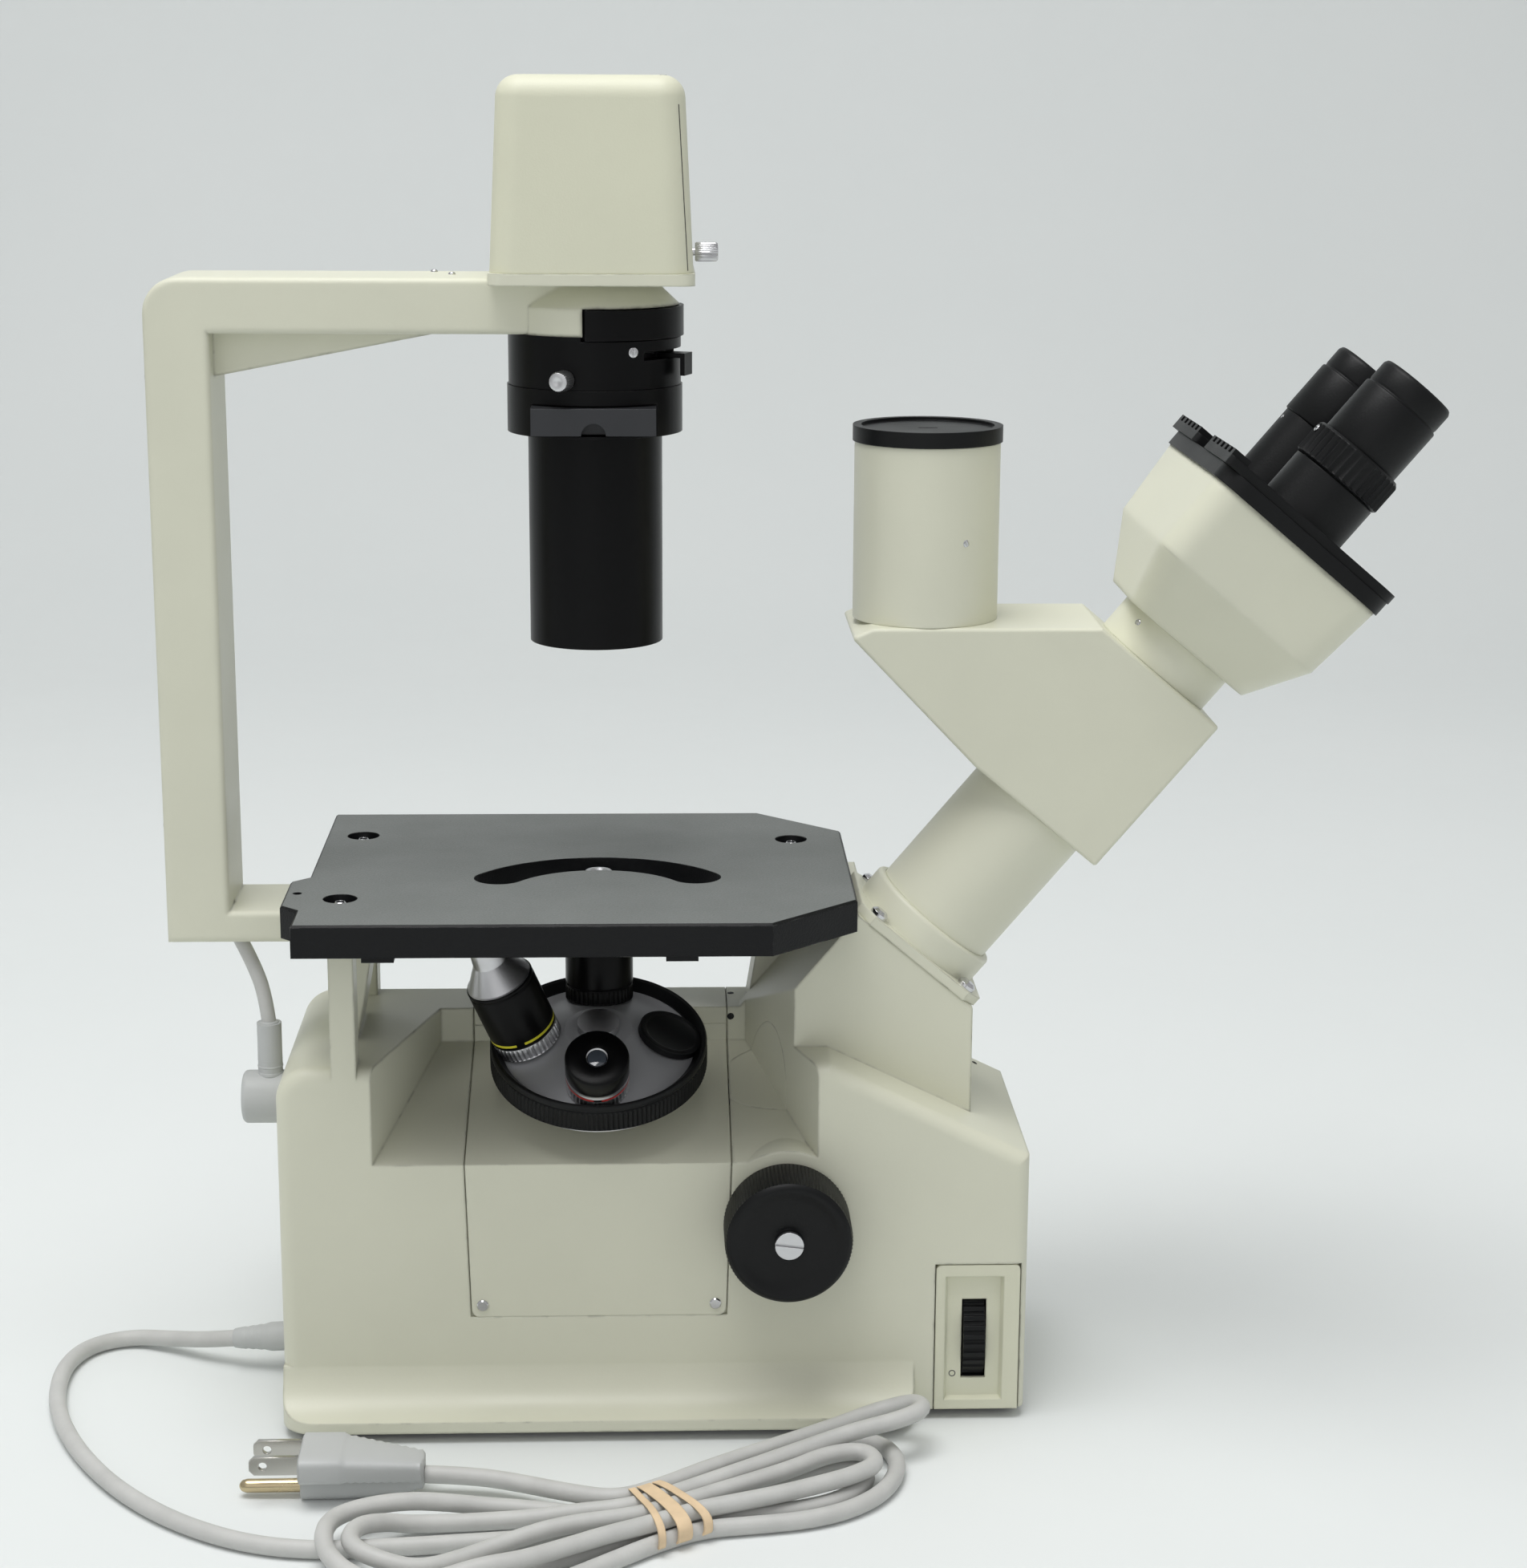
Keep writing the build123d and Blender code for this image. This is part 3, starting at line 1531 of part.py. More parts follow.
with BuildPart() as lamp_holder:
    with BuildSketch(side_plane()):
        with BuildLine():
            Polyline(
                (-lamp_holder_left, lamp_plate_top),
                (-lamp_holder_left, lamp_height + 9),
                (-lamp_holder_right, lamp_height + 9),
                (-lamp_holder_right, lamp_height - 9),
                (-lamp_holder_left + 4, lamp_height - 9),
                (-lamp_holder_left + 4, lamp_plate_top),
                close=True,
            )
        make_face()
    extrude(amount=lamp_holder_half_width, both=True)
    with BuildSketch(cross_plane(-lamp_holder_right)):
        with Locations((-2, lamp_height), (2, lamp_height)):
            Circle(0.6 + running_fit)
    extrude(amount=-6, mode=Mode.SUBTRACT)

with BuildPart() as halogen_lamp:
    lamp_plane = Plane(
        origin=(optical_x - lamp_holder_right, 0, lamp_height), x_dir=(0, 1, 0), z_dir=(1, 0, 0)
    )
    with BuildSketch(lamp_plane):
        Circle(lamp_radius)
    extrude(amount=4 * lamp_radius)
    fillet(halogen_lamp.faces().sort_by(Axis.X)[-1].edges(), lamp_radius * 0.9)
    with BuildSketch(lamp_plane):
        with Locations((-2, 0), (2, 0)):
            Circle(0.6)
    extrude(amount=-5)

# Condenser: swing-out filter holder, iris drum, slider drum with its long tube
with BuildPart() as filter_holder:
    with BuildSketch(level(filter_holder_foot)):
        Circle(filter_holder_radius)
        add(ring_sector(filter_holder_radius - 2, filter_holder_lip_radius, -95, 14))
        with Locations((filter_pivot_x, filter_pivot_y)):
            Circle(filter_lug_radius)
        Circle(filter_radius, mode=Mode.SUBTRACT)
        with Locations((filter_pivot_x, filter_pivot_y)):
            Circle(filter_pivot_radius + running_fit, mode=Mode.SUBTRACT)
    extrude(amount=filter_holder_top - filter_holder_foot)

with BuildPart() as condenser_drum:
    lever_seat = lever_height - lever_thickness / 2 - running_fit
    add(
        turned(
            level(drum_foot),
            [
                (condenser_bore_radius, 0),
                (drum_radius, 0),
                (drum_radius, drum_top - drum_foot),
                (drum_bore_radius, drum_top - drum_foot),
                (drum_bore_radius, lever_seat - drum_foot),
                (drum_bore_radius - 2, lever_seat - drum_foot),
                (drum_bore_radius - 2, drum_floor),
                (condenser_bore_radius, drum_floor),
            ],
        )
    )
    with BuildSketch(level(drum_top)):
        add(ring_sector(boss_radius - boss_skirt_wall, drum_radius, 98, 262))
    extrude(amount=boss_foot - drum_top)
    with BuildSketch(level(lever_seat)):
        add(
            ring_sector(
                drum_bore_radius - 1,
                drum_radius + 1,
                lever_angle + lever_swing_low - 13,
                lever_angle + lever_swing_high + 13,
            )
        )
    extrude(amount=lever_thickness + 1.4, mode=Mode.SUBTRACT)
    knob_angle = radians(-90 - clamp_knob_angle)
    knob_direction = (cos(knob_angle), sin(knob_angle), 0)
    knob_plane = Plane(
        origin=(
            optical_x + drum_radius * cos(knob_angle),
            drum_radius * sin(knob_angle),
            clamp_knob_height,
        ),
        x_dir=(0, 0, 1),
        z_dir=knob_direction,
    )
    with BuildSketch(knob_plane):
        Circle(clamp_knob_shank + running_fit)
    extrude(amount=-5, mode=Mode.SUBTRACT)

with BuildPart() as clamp_knob:
    add(fluted(knob_plane.offset(air_gap), clamp_knob_radius, clamp_knob_length, 16, 0.35))
    with BuildSketch(knob_plane.offset(air_gap)):
        Circle(clamp_knob_shank)
    extrude(amount=-4.5)

with BuildPart() as aperture_lever:
    with BuildSketch(level(lever_height - lever_thickness / 2)):
        Circle(drum_bore_radius - air_gap)
        Circle(iris_inner_radius, mode=Mode.SUBTRACT)
    extrude(amount=lever_thickness)
    lever_direction = radians(lever_angle)
    lever_plane = Plane(
        origin=(optical_x, 0, lever_height - lever_thickness / 2),
        x_dir=(cos(lever_direction), sin(lever_direction), 0),
        z_dir=(0, 0, 1),
    )
    with BuildSketch(lever_plane):
        with Locations(((iris_inner_radius + 3 + lever_length) / 2, 0)):
            Rectangle(lever_length - iris_inner_radius - 3, 2 * lever_half_width)
    extrude(amount=lever_thickness)
    with BuildSketch(lever_plane):
        with Locations((lever_length - lever_thickness / 2, 0)):
            Rectangle(lever_thickness, 2 * lever_half_width)
    extrude(amount=-lever_tab_drop)

with BuildPart() as condenser_tube:
    tube_height = slider_drum_foot - condenser_tube_foot
    drum_height = drum_foot - condenser_tube_foot
    add(
        turned(
            level(condenser_tube_foot),
            [
                (condenser_bore_radius, 0),
                (condenser_tube_radius, 0),
                (condenser_tube_radius, tube_height),
                (slider_drum_radius, tube_height),
                (slider_drum_radius, drum_height),
                (condenser_bore_radius, drum_height),
            ],
        )
    )
    with BuildSketch(level(slider_grip_foot - air_gap, 0, -slider_grip_back + air_gap - 20)):
        Rectangle(2 * (slider_grip_half_width + air_gap), 40)
    extrude(amount=slider_grip_top - slider_grip_foot + 2 * air_gap, mode=Mode.SUBTRACT)
    with BuildSketch(level(slider_height - slider_thickness / 2 - running_fit)):
        Rectangle(2 * (slider_half_width + running_fit), 100)
    extrude(amount=slider_thickness + 2 * running_fit, mode=Mode.SUBTRACT)

with BuildPart() as phase_slider:
    with BuildSketch(level(slider_height - slider_thickness / 2, 0, (slider_far_y - slider_grip_back) / 2)):
        Rectangle(2 * slider_half_width, slider_far_y + slider_grip_back)
    extrude(amount=slider_thickness)
    with BuildSketch(level(slider_grip_foot, 0, -(slider_grip_front + slider_grip_back) / 2)):
        Rectangle(2 * slider_grip_half_width, slider_grip_front - slider_grip_back)
    extrude(amount=slider_grip_top - slider_grip_foot)
    with BuildSketch(level(slider_grip_top)):
        with Locations((0, 0), (0, slider_step)):
            Circle(slider_opening_radius)
    extrude(amount=slider_grip_foot - slider_grip_top, mode=Mode.SUBTRACT)
    with BuildSketch(side_plane(-slider_grip_front)):
        with Locations((0, slider_grip_foot)):
            Circle(slider_notch_radius)
    extrude(amount=-5, mode=Mode.SUBTRACT)

# Lenses of the light path: collector, condenser front and back, tube lens
with BuildPart() as light_path_lenses:
    for base, radius, thickness in (
        (level(boss_cut_height + 1), boss_bore_radius, 5.0),
        (level(condenser_tube_foot + 2), condenser_bore_radius, condenser_lens_thickness),
        (level(slider_drum_foot - 12), condenser_bore_radius, condenser_lens_thickness),
        (axis_plane(inclined_tube_foot + 20), light_bore_radius, 5.0),
    ):
        add(
            turned(
                base,
                [
                    (0, 0),
                    (radius - running_fit, 0.8),
                    (radius - running_fit, thickness - 0.8),
                    (0, thickness),
                ],
            )
        )

# Focus drive
shaft_reach = knob_far - 4
with BuildPart() as focus_bearings:
    for side in (-1, 1):
        with BuildSketch(side_plane(side * base_half_width)):
            with Locations((focus_x, focus_height)):
                Circle(focus_bush_radius)
                Circle(focus_shaft_radius + running_fit, mode=Mode.SUBTRACT)
        extrude(amount=side * base_wall)
        with BuildSketch(side_plane(side * (base_half_width - base_wall))):
            with Locations((focus_x, focus_height)):
                Circle(focus_bush_radius + 2)
                Circle(focus_shaft_radius + running_fit, mode=Mode.SUBTRACT)
        extrude(amount=side * 2)

pitch_radius = gear_module * pinion_teeth / 2
tooth_pitch = pi * gear_module
# Half a tooth: distance beyond the pitch line and half its width there, in modules
tooth_form = ((-1.25, 0.9), (0.0, 0.6), (0.85, 0.28))
pinion_outline = []
for k in range(pinion_teeth):
    for reach, half_width in [(r, -w) for r, w in tooth_form] + list(reversed(tooth_form)):
        tooth_radius = pitch_radius + reach * gear_module
        tooth_angle = radians(360 * k / pinion_teeth) + half_width * gear_module / tooth_radius
        pinion_outline.append(
            (focus_x + tooth_radius * cos(tooth_angle), focus_height + tooth_radius * sin(tooth_angle))
        )
rack_teeth = range(-6, 5)
rack_pitch_x = focus_x - pitch_radius
rack_root_x = rack_pitch_x - 1.25 * gear_module
rack_outline = [(rack_root_x, carriage_block_foot)]
for k in rack_teeth:
    rack_height = focus_height + (k + 0.5) * tooth_pitch
    for reach, half_width in [(r, -w) for r, w in tooth_form] + list(reversed(tooth_form)):
        rack_outline.append(
            (rack_pitch_x + reach * gear_module, rack_height + half_width * gear_module)
        )
rack_outline.append((rack_root_x, carriage_plate_top))
with BuildPart() as focus_shaft:
    with BuildSketch(side_plane()):
        with Locations((focus_x, focus_height)):
            Circle(focus_shaft_radius)
    extrude(amount=shaft_reach, both=True)
    with BuildSketch(side_plane(pinion_near_y)):
        with BuildLine():
            Polyline(*pinion_outline, close=True)
        make_face()
    extrude(amount=-pinion_width)

with BuildPart() as focus_knobs:
    for side in (-1, 1):
        knob_plane_side = Plane(
            origin=(optical_x + focus_x, side * knob_near, focus_height),
            x_dir=(1, 0, 0),
            z_dir=(0, side, 0),
        )
        add(
            fluted(
                knob_plane_side, knob_radius, knob_far - knob_near, knob_flute_count, knob_flute_radius
            )
        )
        with BuildSketch(knob_plane_side.offset(knob_far - knob_near)):
            Circle(knob_dish_radius)
            Circle(knob_cap_radius, mode=Mode.SUBTRACT)
        extrude(amount=-knob_dish_depth, mode=Mode.SUBTRACT)
        with BuildSketch(knob_plane_side):
            Circle(focus_shaft_radius)
        extrude(amount=shaft_reach - knob_near, mode=Mode.SUBTRACT)

with BuildPart() as knob_caps:
    for side in (-1, 1):
        cap_plane = Plane(
            origin=(optical_x + focus_x, side * knob_far, focus_height),
            x_dir=(1, 0, 0),
            z_dir=(0, side, 0),
        )
        with BuildSketch(cap_plane):
            Circle(knob_cap_radius)
        extrude(amount=knob_cap_height)
        with BuildSketch(cap_plane.offset(knob_cap_height)):
            Rectangle(2 * knob_cap_radius, knob_slot_width, rotation=knob_slot_turn)
        extrude(amount=-knob_cap_height * 0.6, mode=Mode.SUBTRACT)

# Nosepiece carriage: rack block on its dovetail, arm plate, column and pivot
with BuildPart() as nose_column:
    with BuildSketch(level(carriage_plate_top - 1, 0, nose_column_y)):
        Circle(nose_column_radius)
    extrude(amount=2 * nose_column_radius)
    split(bisect_by=turret_plane(-turret_rim_height - nose_disc_thickness / 2), keep=Keep.BOTTOM)

nose_disc_top = -turret_rim_height - face_gap
hub_top = (turret_pitch_radius - 12) * tan(tilt)
with BuildPart() as nosepiece_carriage:
    with BuildSketch(level(carriage_plate_foot)):
        with BuildLine():
            Polyline(
                (-carriage_left, carriage_near_y),
                (carriage_plate_right, carriage_near_y),
                (carriage_plate_right, carriage_arm_near_y),
                (rack_root_x, carriage_arm_near_y),
                (rack_root_x, carriage_far_y),
                (-carriage_left, carriage_far_y),
                close=True,
            )
        make_face()
    extrude(amount=carriage_plate_top - carriage_plate_foot)
    with BuildSketch(side_plane(carriage_block_near_y)):
        with BuildLine():
            Polyline(
                (carriage_block_left, carriage_plate_top),
                (carriage_block_left, carriage_block_foot),
                *rack_outline,
                close=True,
            )
        make_face()
    extrude(amount=-(carriage_far_y - carriage_block_near_y))
    add(nose_column.part)
    with BuildSketch(turret_plane(nose_disc_top)):
        Circle(nose_disc_radius)
    extrude(amount=-nose_disc_thickness)
    with BuildSketch(turret_plane(nose_disc_top)):
        Circle(turret_hub_bore - running_fit)
    extrude(amount=hub_top + face_gap - nose_disc_top)
    with BuildSketch(turret_plane(hub_top + face_gap)):
        Circle(turret_hub_bore + 2.5)
    extrude(amount=2.5)
    with BuildSketch(level(carriage_plate_foot)):
        Circle(nose_bore_radius)
    extrude(amount=stage_top - carriage_plate_foot, mode=Mode.SUBTRACT)
    with BuildSketch(level(carriage_block_foot)):
        with BuildLine():
            Polyline(
                (dovetail_x - dovetail_narrow / 2, carriage_far_y),
                (dovetail_x - dovetail_wide / 2, carriage_far_y - dovetail_depth),
                (dovetail_x + dovetail_wide / 2, carriage_far_y - dovetail_depth),
                (dovetail_x + dovetail_narrow / 2, carriage_far_y),
                close=True,
            )
        make_face()
    extrude(amount=carriage_plate_top - carriage_block_foot, mode=Mode.SUBTRACT)

with BuildPart() as carriage_guide:
    with BuildSketch(level(guide_foot)):
        with BuildLine():
            Polyline(
                (dovetail_x - dovetail_narrow / 2, carriage_far_y + 1),
                (dovetail_x - dovetail_narrow / 2, carriage_far_y),
                (dovetail_x - dovetail_wide / 2, carriage_far_y - dovetail_depth),
                (dovetail_x + dovetail_wide / 2, carriage_far_y - dovetail_depth),
                (dovetail_x + dovetail_narrow / 2, carriage_far_y),
                (dovetail_x + dovetail_narrow / 2, carriage_far_y + 1),
                close=True,
            )
        make_face()
        offset(amount=-running_fit, kind=Kind.INTERSECTION)
        with Locations((dovetail_x, (carriage_far_y + running_fit + base_half_width - base_wall) / 2)):
            Rectangle(guide_width, base_half_width - base_wall - carriage_far_y - running_fit)
    extrude(amount=guide_top - guide_foot)

# Turret plate: a cone whose seats face the splayed objectives
cone_slope = tan(tilt)
with BuildPart() as turret_plate:
    rim_rise = (turret_pitch_radius - turret_plate_radius) * cone_slope
    add(
        turned(
            turret_plane(),
            [
                (turret_hub_bore, -turret_rim_height),
                (9, -turret_rim_height),
                (12, -7.5),
                (turret_plate_radius - 4, -7.5),
                (turret_plate_radius - 3, -turret_rim_height),
                (turret_plate_radius, -turret_rim_height),
                (turret_plate_radius, rim_rise),
                (12, hub_top),
                (turret_hub_bore, hub_top),
            ],
        )
    )
    for position in (0, 90, 180, 270):
        with BuildSketch(seat_plane(position)):
            Circle(turret_thread_radius)
        extrude(amount=15, both=True, mode=Mode.SUBTRACT)

with BuildPart() as turret_rim:
    add(
        fluted(
            turret_plane(-turret_rim_height),
            turret_rim_radius,
            turret_rim_height,
            turret_rim_flutes,
            0.7,
        )
    )
    with BuildSketch(turret_plane(-turret_rim_height)):
        Circle(turret_plate_radius)
    extrude(amount=turret_rim_height, mode=Mode.SUBTRACT)
    for position in (0, 90, 180, 270):
        with BuildSketch(seat_plane(position)):
            Circle(barrel_radius + air_gap)
        extrude(amount=turret_rim_height, mode=Mode.SUBTRACT)

# Objectives and the cap of the empty port
thread_end = -turret_thread_depth
long_profile = [
    (objective_bore_radius + 3, thread_end),
    (turret_thread_radius, thread_end),
    (turret_thread_radius, 0),
    (barrel_radius, 0),
    (barrel_radius, long_barrel),
    (barrel_radius - 1.3, long_barrel),
    (cone_end_radius, cone_end),
    (tip_radius, tip_end),
    (objective_bore_radius, tip_end),
]
short_profile = [
    (objective_bore_radius + 3, thread_end),
    (turret_thread_radius, thread_end),
    (turret_thread_radius, 0),
    (short_radius, 0),
    (short_radius, short_length - 1),
    (short_radius - 1, short_length),
    (objective_bore_radius + 3, short_length),
]
with BuildPart() as objective_20x:
    add(turned(seat_plane(0), long_profile))
with BuildPart() as objective_10x:
    add(turned(seat_plane(270), long_profile))
with BuildPart() as objective_4x:
    add(turned(seat_plane(180), short_profile))
with BuildPart() as port_cap:
    add(
        turned(
            seat_plane(90),
            [
                (0, thread_end),
                (turret_thread_radius, thread_end),
                (turret_thread_radius, 0),
                (port_cap_radius, 0),
                (port_cap_radius, port_cap_height - 1),
                (port_cap_radius - 1, port_cap_height),
                (0, port_cap_height),
            ],
        )
    )

# Small screws: cover screws, arm cover screws and set screws
with BuildPart() as small_screws:
    for side in (-1, 1):
        for x in (-cover_screw_x, cover_screw_x):
            seat = Plane(
                origin=(optical_x + x, side * base_half_width, cover_screw_height),
                x_dir=(1, 0, 0),
                z_dir=(0, side, 0),
            )
            add(screw(seat, small_screw_radius, base_wall, small_screw_head, 0.9))
    with BuildSketch(level(boss_cut_height, filter_pivot_x, filter_pivot_y)):
        Circle(filter_pivot_radius)
    extrude(amount=-(boss_cut_height - filter_holder_foot))

# Lamp lead and its right-angle plug
with BuildPart() as lead_plug:
    plug_axis = Plane(
        origin=(optical_x - base_left, lead_y, lead_plug_height), x_dir=(0, 1, 0), z_dir=(-1, 0, 0)
    )
    with BuildSketch(plug_axis):
        Circle(lead_plug_radius)
    extrude(amount=lead_plug_reach)
    fillet(lead_plug.faces().sort_by(Axis.X)[0].edges(), 2)
    with BuildSketch(level(lead_plug_height, lead_relief_x, lead_y)):
        Circle(lead_relief_radius)
    extrude(amount=lead_relief_top - lead_plug_height)
    with BuildSketch(plug_axis):
        Circle(lead_pin_radius - running_fit)
    extrude(amount=-base_wall - 2)


def cord_tube(points, radius):
    """Round cord: straight runs with an arc at each corner as large as the runs allow."""
    corners = [Vector(*point) for point in points]
    radii = []
    for before, here, after in zip(corners, corners[1:], corners[2:]):
        first = here - before
        second = after - here
        turn = radians(first.get_angle(second))
        radii.append(0.45 * min(first.length, second.length) / tan(turn / 2))
    print("corner radii", [round(r, 1) for r in radii])
    with BuildPart() as tube:
        with BuildLine() as path:
            FilletPolyline(*points, radius=radii)
        with BuildSketch(Plane(origin=path.line @ 0, z_dir=path.line % 0)):
            Circle(radius)
        sweep()
    length = sum(edge.length for edge in path.edges())
    print("length", round(length, 1), "volume ratio", round(tube.part.volume / (pi * radius**2 * length), 4))
    return tube.part


lamp_lead_route = [
    (optical_x + lead_relief_x, lead_y, lead_relief_top),
    (optical_x - 119.6, lead_y, 152),
    (optical_x - 124.0, -13.2, 163.5),
    (optical_x - 131.0, -9.5, 176),
    (optical_x - 137.5, -5.6, 188.5),
    (optical_x - 141.5, -3.2, 204),
]
with BuildPart() as lamp_lead:
    add(cord_tube(lamp_lead_route, lead_radius))

# Mains gland, cord, tied hank and plug
gland_tip = base_left + gland_flange_thickness + gland_boot_length
with BuildPart() as mains_gland:
    add(
        turned(
            Plane(origin=(optical_x - base_left, 0, gland_height), x_dir=(0, 1, 0), z_dir=(-1, 0, 0)),
            [
                (0, -base_wall),
                (gland_radius - running_fit, -base_wall),
                (gland_radius - running_fit, 0),
                (gland_flange_radius, 0),
                (gland_flange_radius, gland_flange_thickness),
                (gland_radius - 0.5, gland_flange_thickness),
                (mains_cord_radius + 0.7, gland_flange_thickness + gland_boot_length),
                (0, gland_flange_thickness + gland_boot_length),
            ],
        )
    )

mains_route = [
    (optical_x - gland_tip, 0, gland_height),
    (optical_x - 137.0, 2.5, 11.4),
    (optical_x - 150.5, 8.5, 8.2),
    (optical_x - 164.0, 17.0, 5.0),
    (optical_x - 179.0, 23.0, mains_cord_radius + 0.1),
    (optical_x - 193.0, 16.5, mains_cord_radius + 0.1),
    (optical_x - 199.5, 2.0, mains_cord_radius + 0.1),
    (optical_x - 200.0, -17.0, mains_cord_radius + 0.1),
    (optical_x - 196.5, -38.0, mains_cord_radius + 0.1),
    (optical_x - 189.0, -60.0, mains_cord_radius + 0.1),
    (optical_x - 177.5, -83.0, mains_cord_radius + 0.1),
    (optical_x - 162.0, -106.0, mains_cord_radius + 0.1),
    (optical_x - 142.0, -127.0, mains_cord_radius + 0.1),
    (optical_x - 118.0, -143.0, mains_cord_radius + 0.1),
    (optical_x - 86.0, -154.0, mains_cord_radius + 0.1),
]
plug_tail_x = plug_front_x + plug_length
plug_middle_y = plug_near_y + plug_width / 2
tail_height = plug_tail_height / 2 + 1
plug_route = [
    (optical_x + plug_tail_x, plug_middle_y, tail_height),
    (optical_x + plug_tail_x + 15, plug_middle_y + 0.3, tail_height - 0.6),
    (optical_x + plug_tail_x + 31, plug_middle_y - 1.6, tail_height - 0.9),
    (optical_x + plug_tail_x + 47, plug_middle_y - 6.5, tail_height - 0.9),
    (optical_x + plug_tail_x + 62, plug_middle_y - 14.5, tail_height - 0.6),
]
with BuildPart() as mains_cord:
    add(cord_tube(mains_route, mains_cord_radius))
    add(cord_tube(plug_route, mains_cord_radius))

with BuildPart() as cord_hank:
    hank_dx = hank_right_x - hank_left_x
    hank_dy = hank_right_y - hank_left_y
    hank_length = sqrt(hank_dx**2 + hank_dy**2)
    hank_plane = Plane(
        origin=(optical_x + hank_left_x, hank_left_y, 0),
        x_dir=(hank_dx, hank_dy, 0),
        z_dir=(0, 0, 1),
    )
    with BuildSketch(hank_plane):
        Circle(hank_left_radius)
        with Locations((hank_length, 0)):
            Circle(hank_right_radius)
        with Locations((hank_length / 2, 0)):
            Rectangle(hank_length, hank_waist)
    extrude(amount=hank_height)

with BuildPart() as mains_plug:
    block_length = plug_length * 0.45
    with BuildSketch(cross_plane(plug_front_x)):
        with Locations((plug_middle_y, plug_height / 2)):
            Rectangle(plug_width, plug_height)
    extrude(amount=block_length)
    with BuildSketch(cross_plane(plug_front_x + block_length)):
        with Locations((plug_middle_y, plug_height / 2)):
            Rectangle(plug_width, plug_height)
    with BuildSketch(cross_plane(plug_tail_x)):
        with Locations((plug_middle_y, tail_height)):
            Rectangle(plug_tail_width, plug_tail_height)
    loft()
    with BuildSketch(cross_plane(plug_front_x)):
        with Locations((plug_middle_y, blade_height)):
            with GridLocations(blade_spread, 0, 2, 1):
                Rectangle(blade_thickness, blade_width)
    extrude(amount=-blade_length)
    with BuildSketch(cross_plane(plug_front_x)):
        with Locations((plug_middle_y, earth_pin_height)):
            Circle(earth_pin_radius)
    extrude(amount=-earth_pin_length)
    with BuildSketch(side_plane(plug_near_y - 1)):
        with Locations((plug_front_x - blade_length + 4, blade_height)):
            Circle(blade_hole_radius)
    extrude(amount=-plug_width - 2, mode=Mode.SUBTRACT)

pieces = {
    "base_casting": base_casting,
    "bottom_plate": bottom_plate,
    "rubber_feet": rubber_feet,
    "recess_cover": recess_cover,
    "far_cover": far_cover,
    "small_screws": small_screws,
    "control_panel": control_panel,
    "brightness_dial": brightness_dial,
    "dimmer_board": dimmer_board,
    "power_transformer": power_transformer,
    "light_path_mirror": light_path_mirror,
    "stage_plate": stage_plate,
    "stage_screws": stage_screws,
    "illumination_arm": illumination_arm,
    "arm_rear_cover": arm_rear_cover,
    "lamp_base_plate": lamp_base_plate,
    "lamp_cover": lamp_cover,
    "lamp_holder": lamp_holder,
    "halogen_lamp": halogen_lamp,
    "thumb_screw": thumb_screw,
    "filter_holder": filter_holder,
    "condenser_drum": condenser_drum,
    "aperture_lever": aperture_lever,
    "clamp_knob": clamp_knob,
    "condenser_tube": condenser_tube,
    "phase_slider": phase_slider,
    "light_path_lenses": light_path_lenses,
    "neck_collar": neck_collar,
    "neck_screws": neck_screws,
    "inclined_tube": inclined_tube,
    "prism_housing": prism_housing,
    "beam_prisms": beam_prisms,
    "phototube": phototube,
    "phototube_cap": phototube_cap,
    "head_ring": head_ring,
    "head_body": head_body,
    "head_face_plate": head_face_plate,
    "left_eyepiece_slide": left_eyepiece_slide,
    "right_eyepiece_slide": right_eyepiece_slide,
    "left_eyepiece": left_eyepiece,
    "right_eyepiece": right_eyepiece,
    "diopter_ring": diopter_ring,
    "focus_bearings": focus_bearings,
    "focus_shaft": focus_shaft,
    "focus_knobs": focus_knobs,
    "knob_caps": knob_caps,
    "carriage_guide": carriage_guide,
    "nosepiece_carriage": nosepiece_carriage,
    "turret_plate": turret_plate,
    "turret_rim": turret_rim,
    "objective_20x": objective_20x,
    "objective_10x": objective_10x,
    "objective_4x": objective_4x,
    "port_cap": port_cap,
    "lead_plug": lead_plug,
    "lamp_lead": lamp_lead,
    "mains_gland": mains_gland,
    "mains_cord": mains_cord,
    "cord_hank": cord_hank,
    "mains_plug": mains_plug,
}

os.makedirs("parts", exist_ok=True)
for name, piece in pieces.items():
    piece.part.label = name
    export_step(piece.part, f"parts/{name}.step")
print(len(pieces), "pieces")
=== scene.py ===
import json
from math import cos, pi, radians, sin

import bpy
from mathutils import Matrix, Vector
from mathutils.bvhtree import BVHTree


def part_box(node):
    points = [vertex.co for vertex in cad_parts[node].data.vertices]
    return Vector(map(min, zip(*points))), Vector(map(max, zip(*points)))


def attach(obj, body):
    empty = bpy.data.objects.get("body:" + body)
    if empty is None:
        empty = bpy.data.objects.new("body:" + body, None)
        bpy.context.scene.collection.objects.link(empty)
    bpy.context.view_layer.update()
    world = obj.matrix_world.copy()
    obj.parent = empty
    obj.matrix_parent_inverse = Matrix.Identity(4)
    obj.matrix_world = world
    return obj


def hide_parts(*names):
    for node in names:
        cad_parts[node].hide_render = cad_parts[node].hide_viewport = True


# Looks of the inverted microscope. Lengths are millimetres in the frame's axes, turned into
# metres by MM where a piece is made, and most are measured from the optical axis. The camera,
# the lights, the floor, the cords' facts and the sizes inside a material are metres.
MM = 0.001
OPTICAL_X = -70.0

# Camera of the photograph
IMAGE_WIDTH = 1904
IMAGE_HEIGHT = 1955
FOCAL_PIXELS = 3737.0
CAMERA_PLACE = Vector((-0.0511, -1.050, 0.47465))
CAMERA_YAW = radians(2.22)
CAMERA_PITCH = radians(13.37)
CAMERA_ROLL = radians(0.32)
SENSOR_WIDTH = 36.0

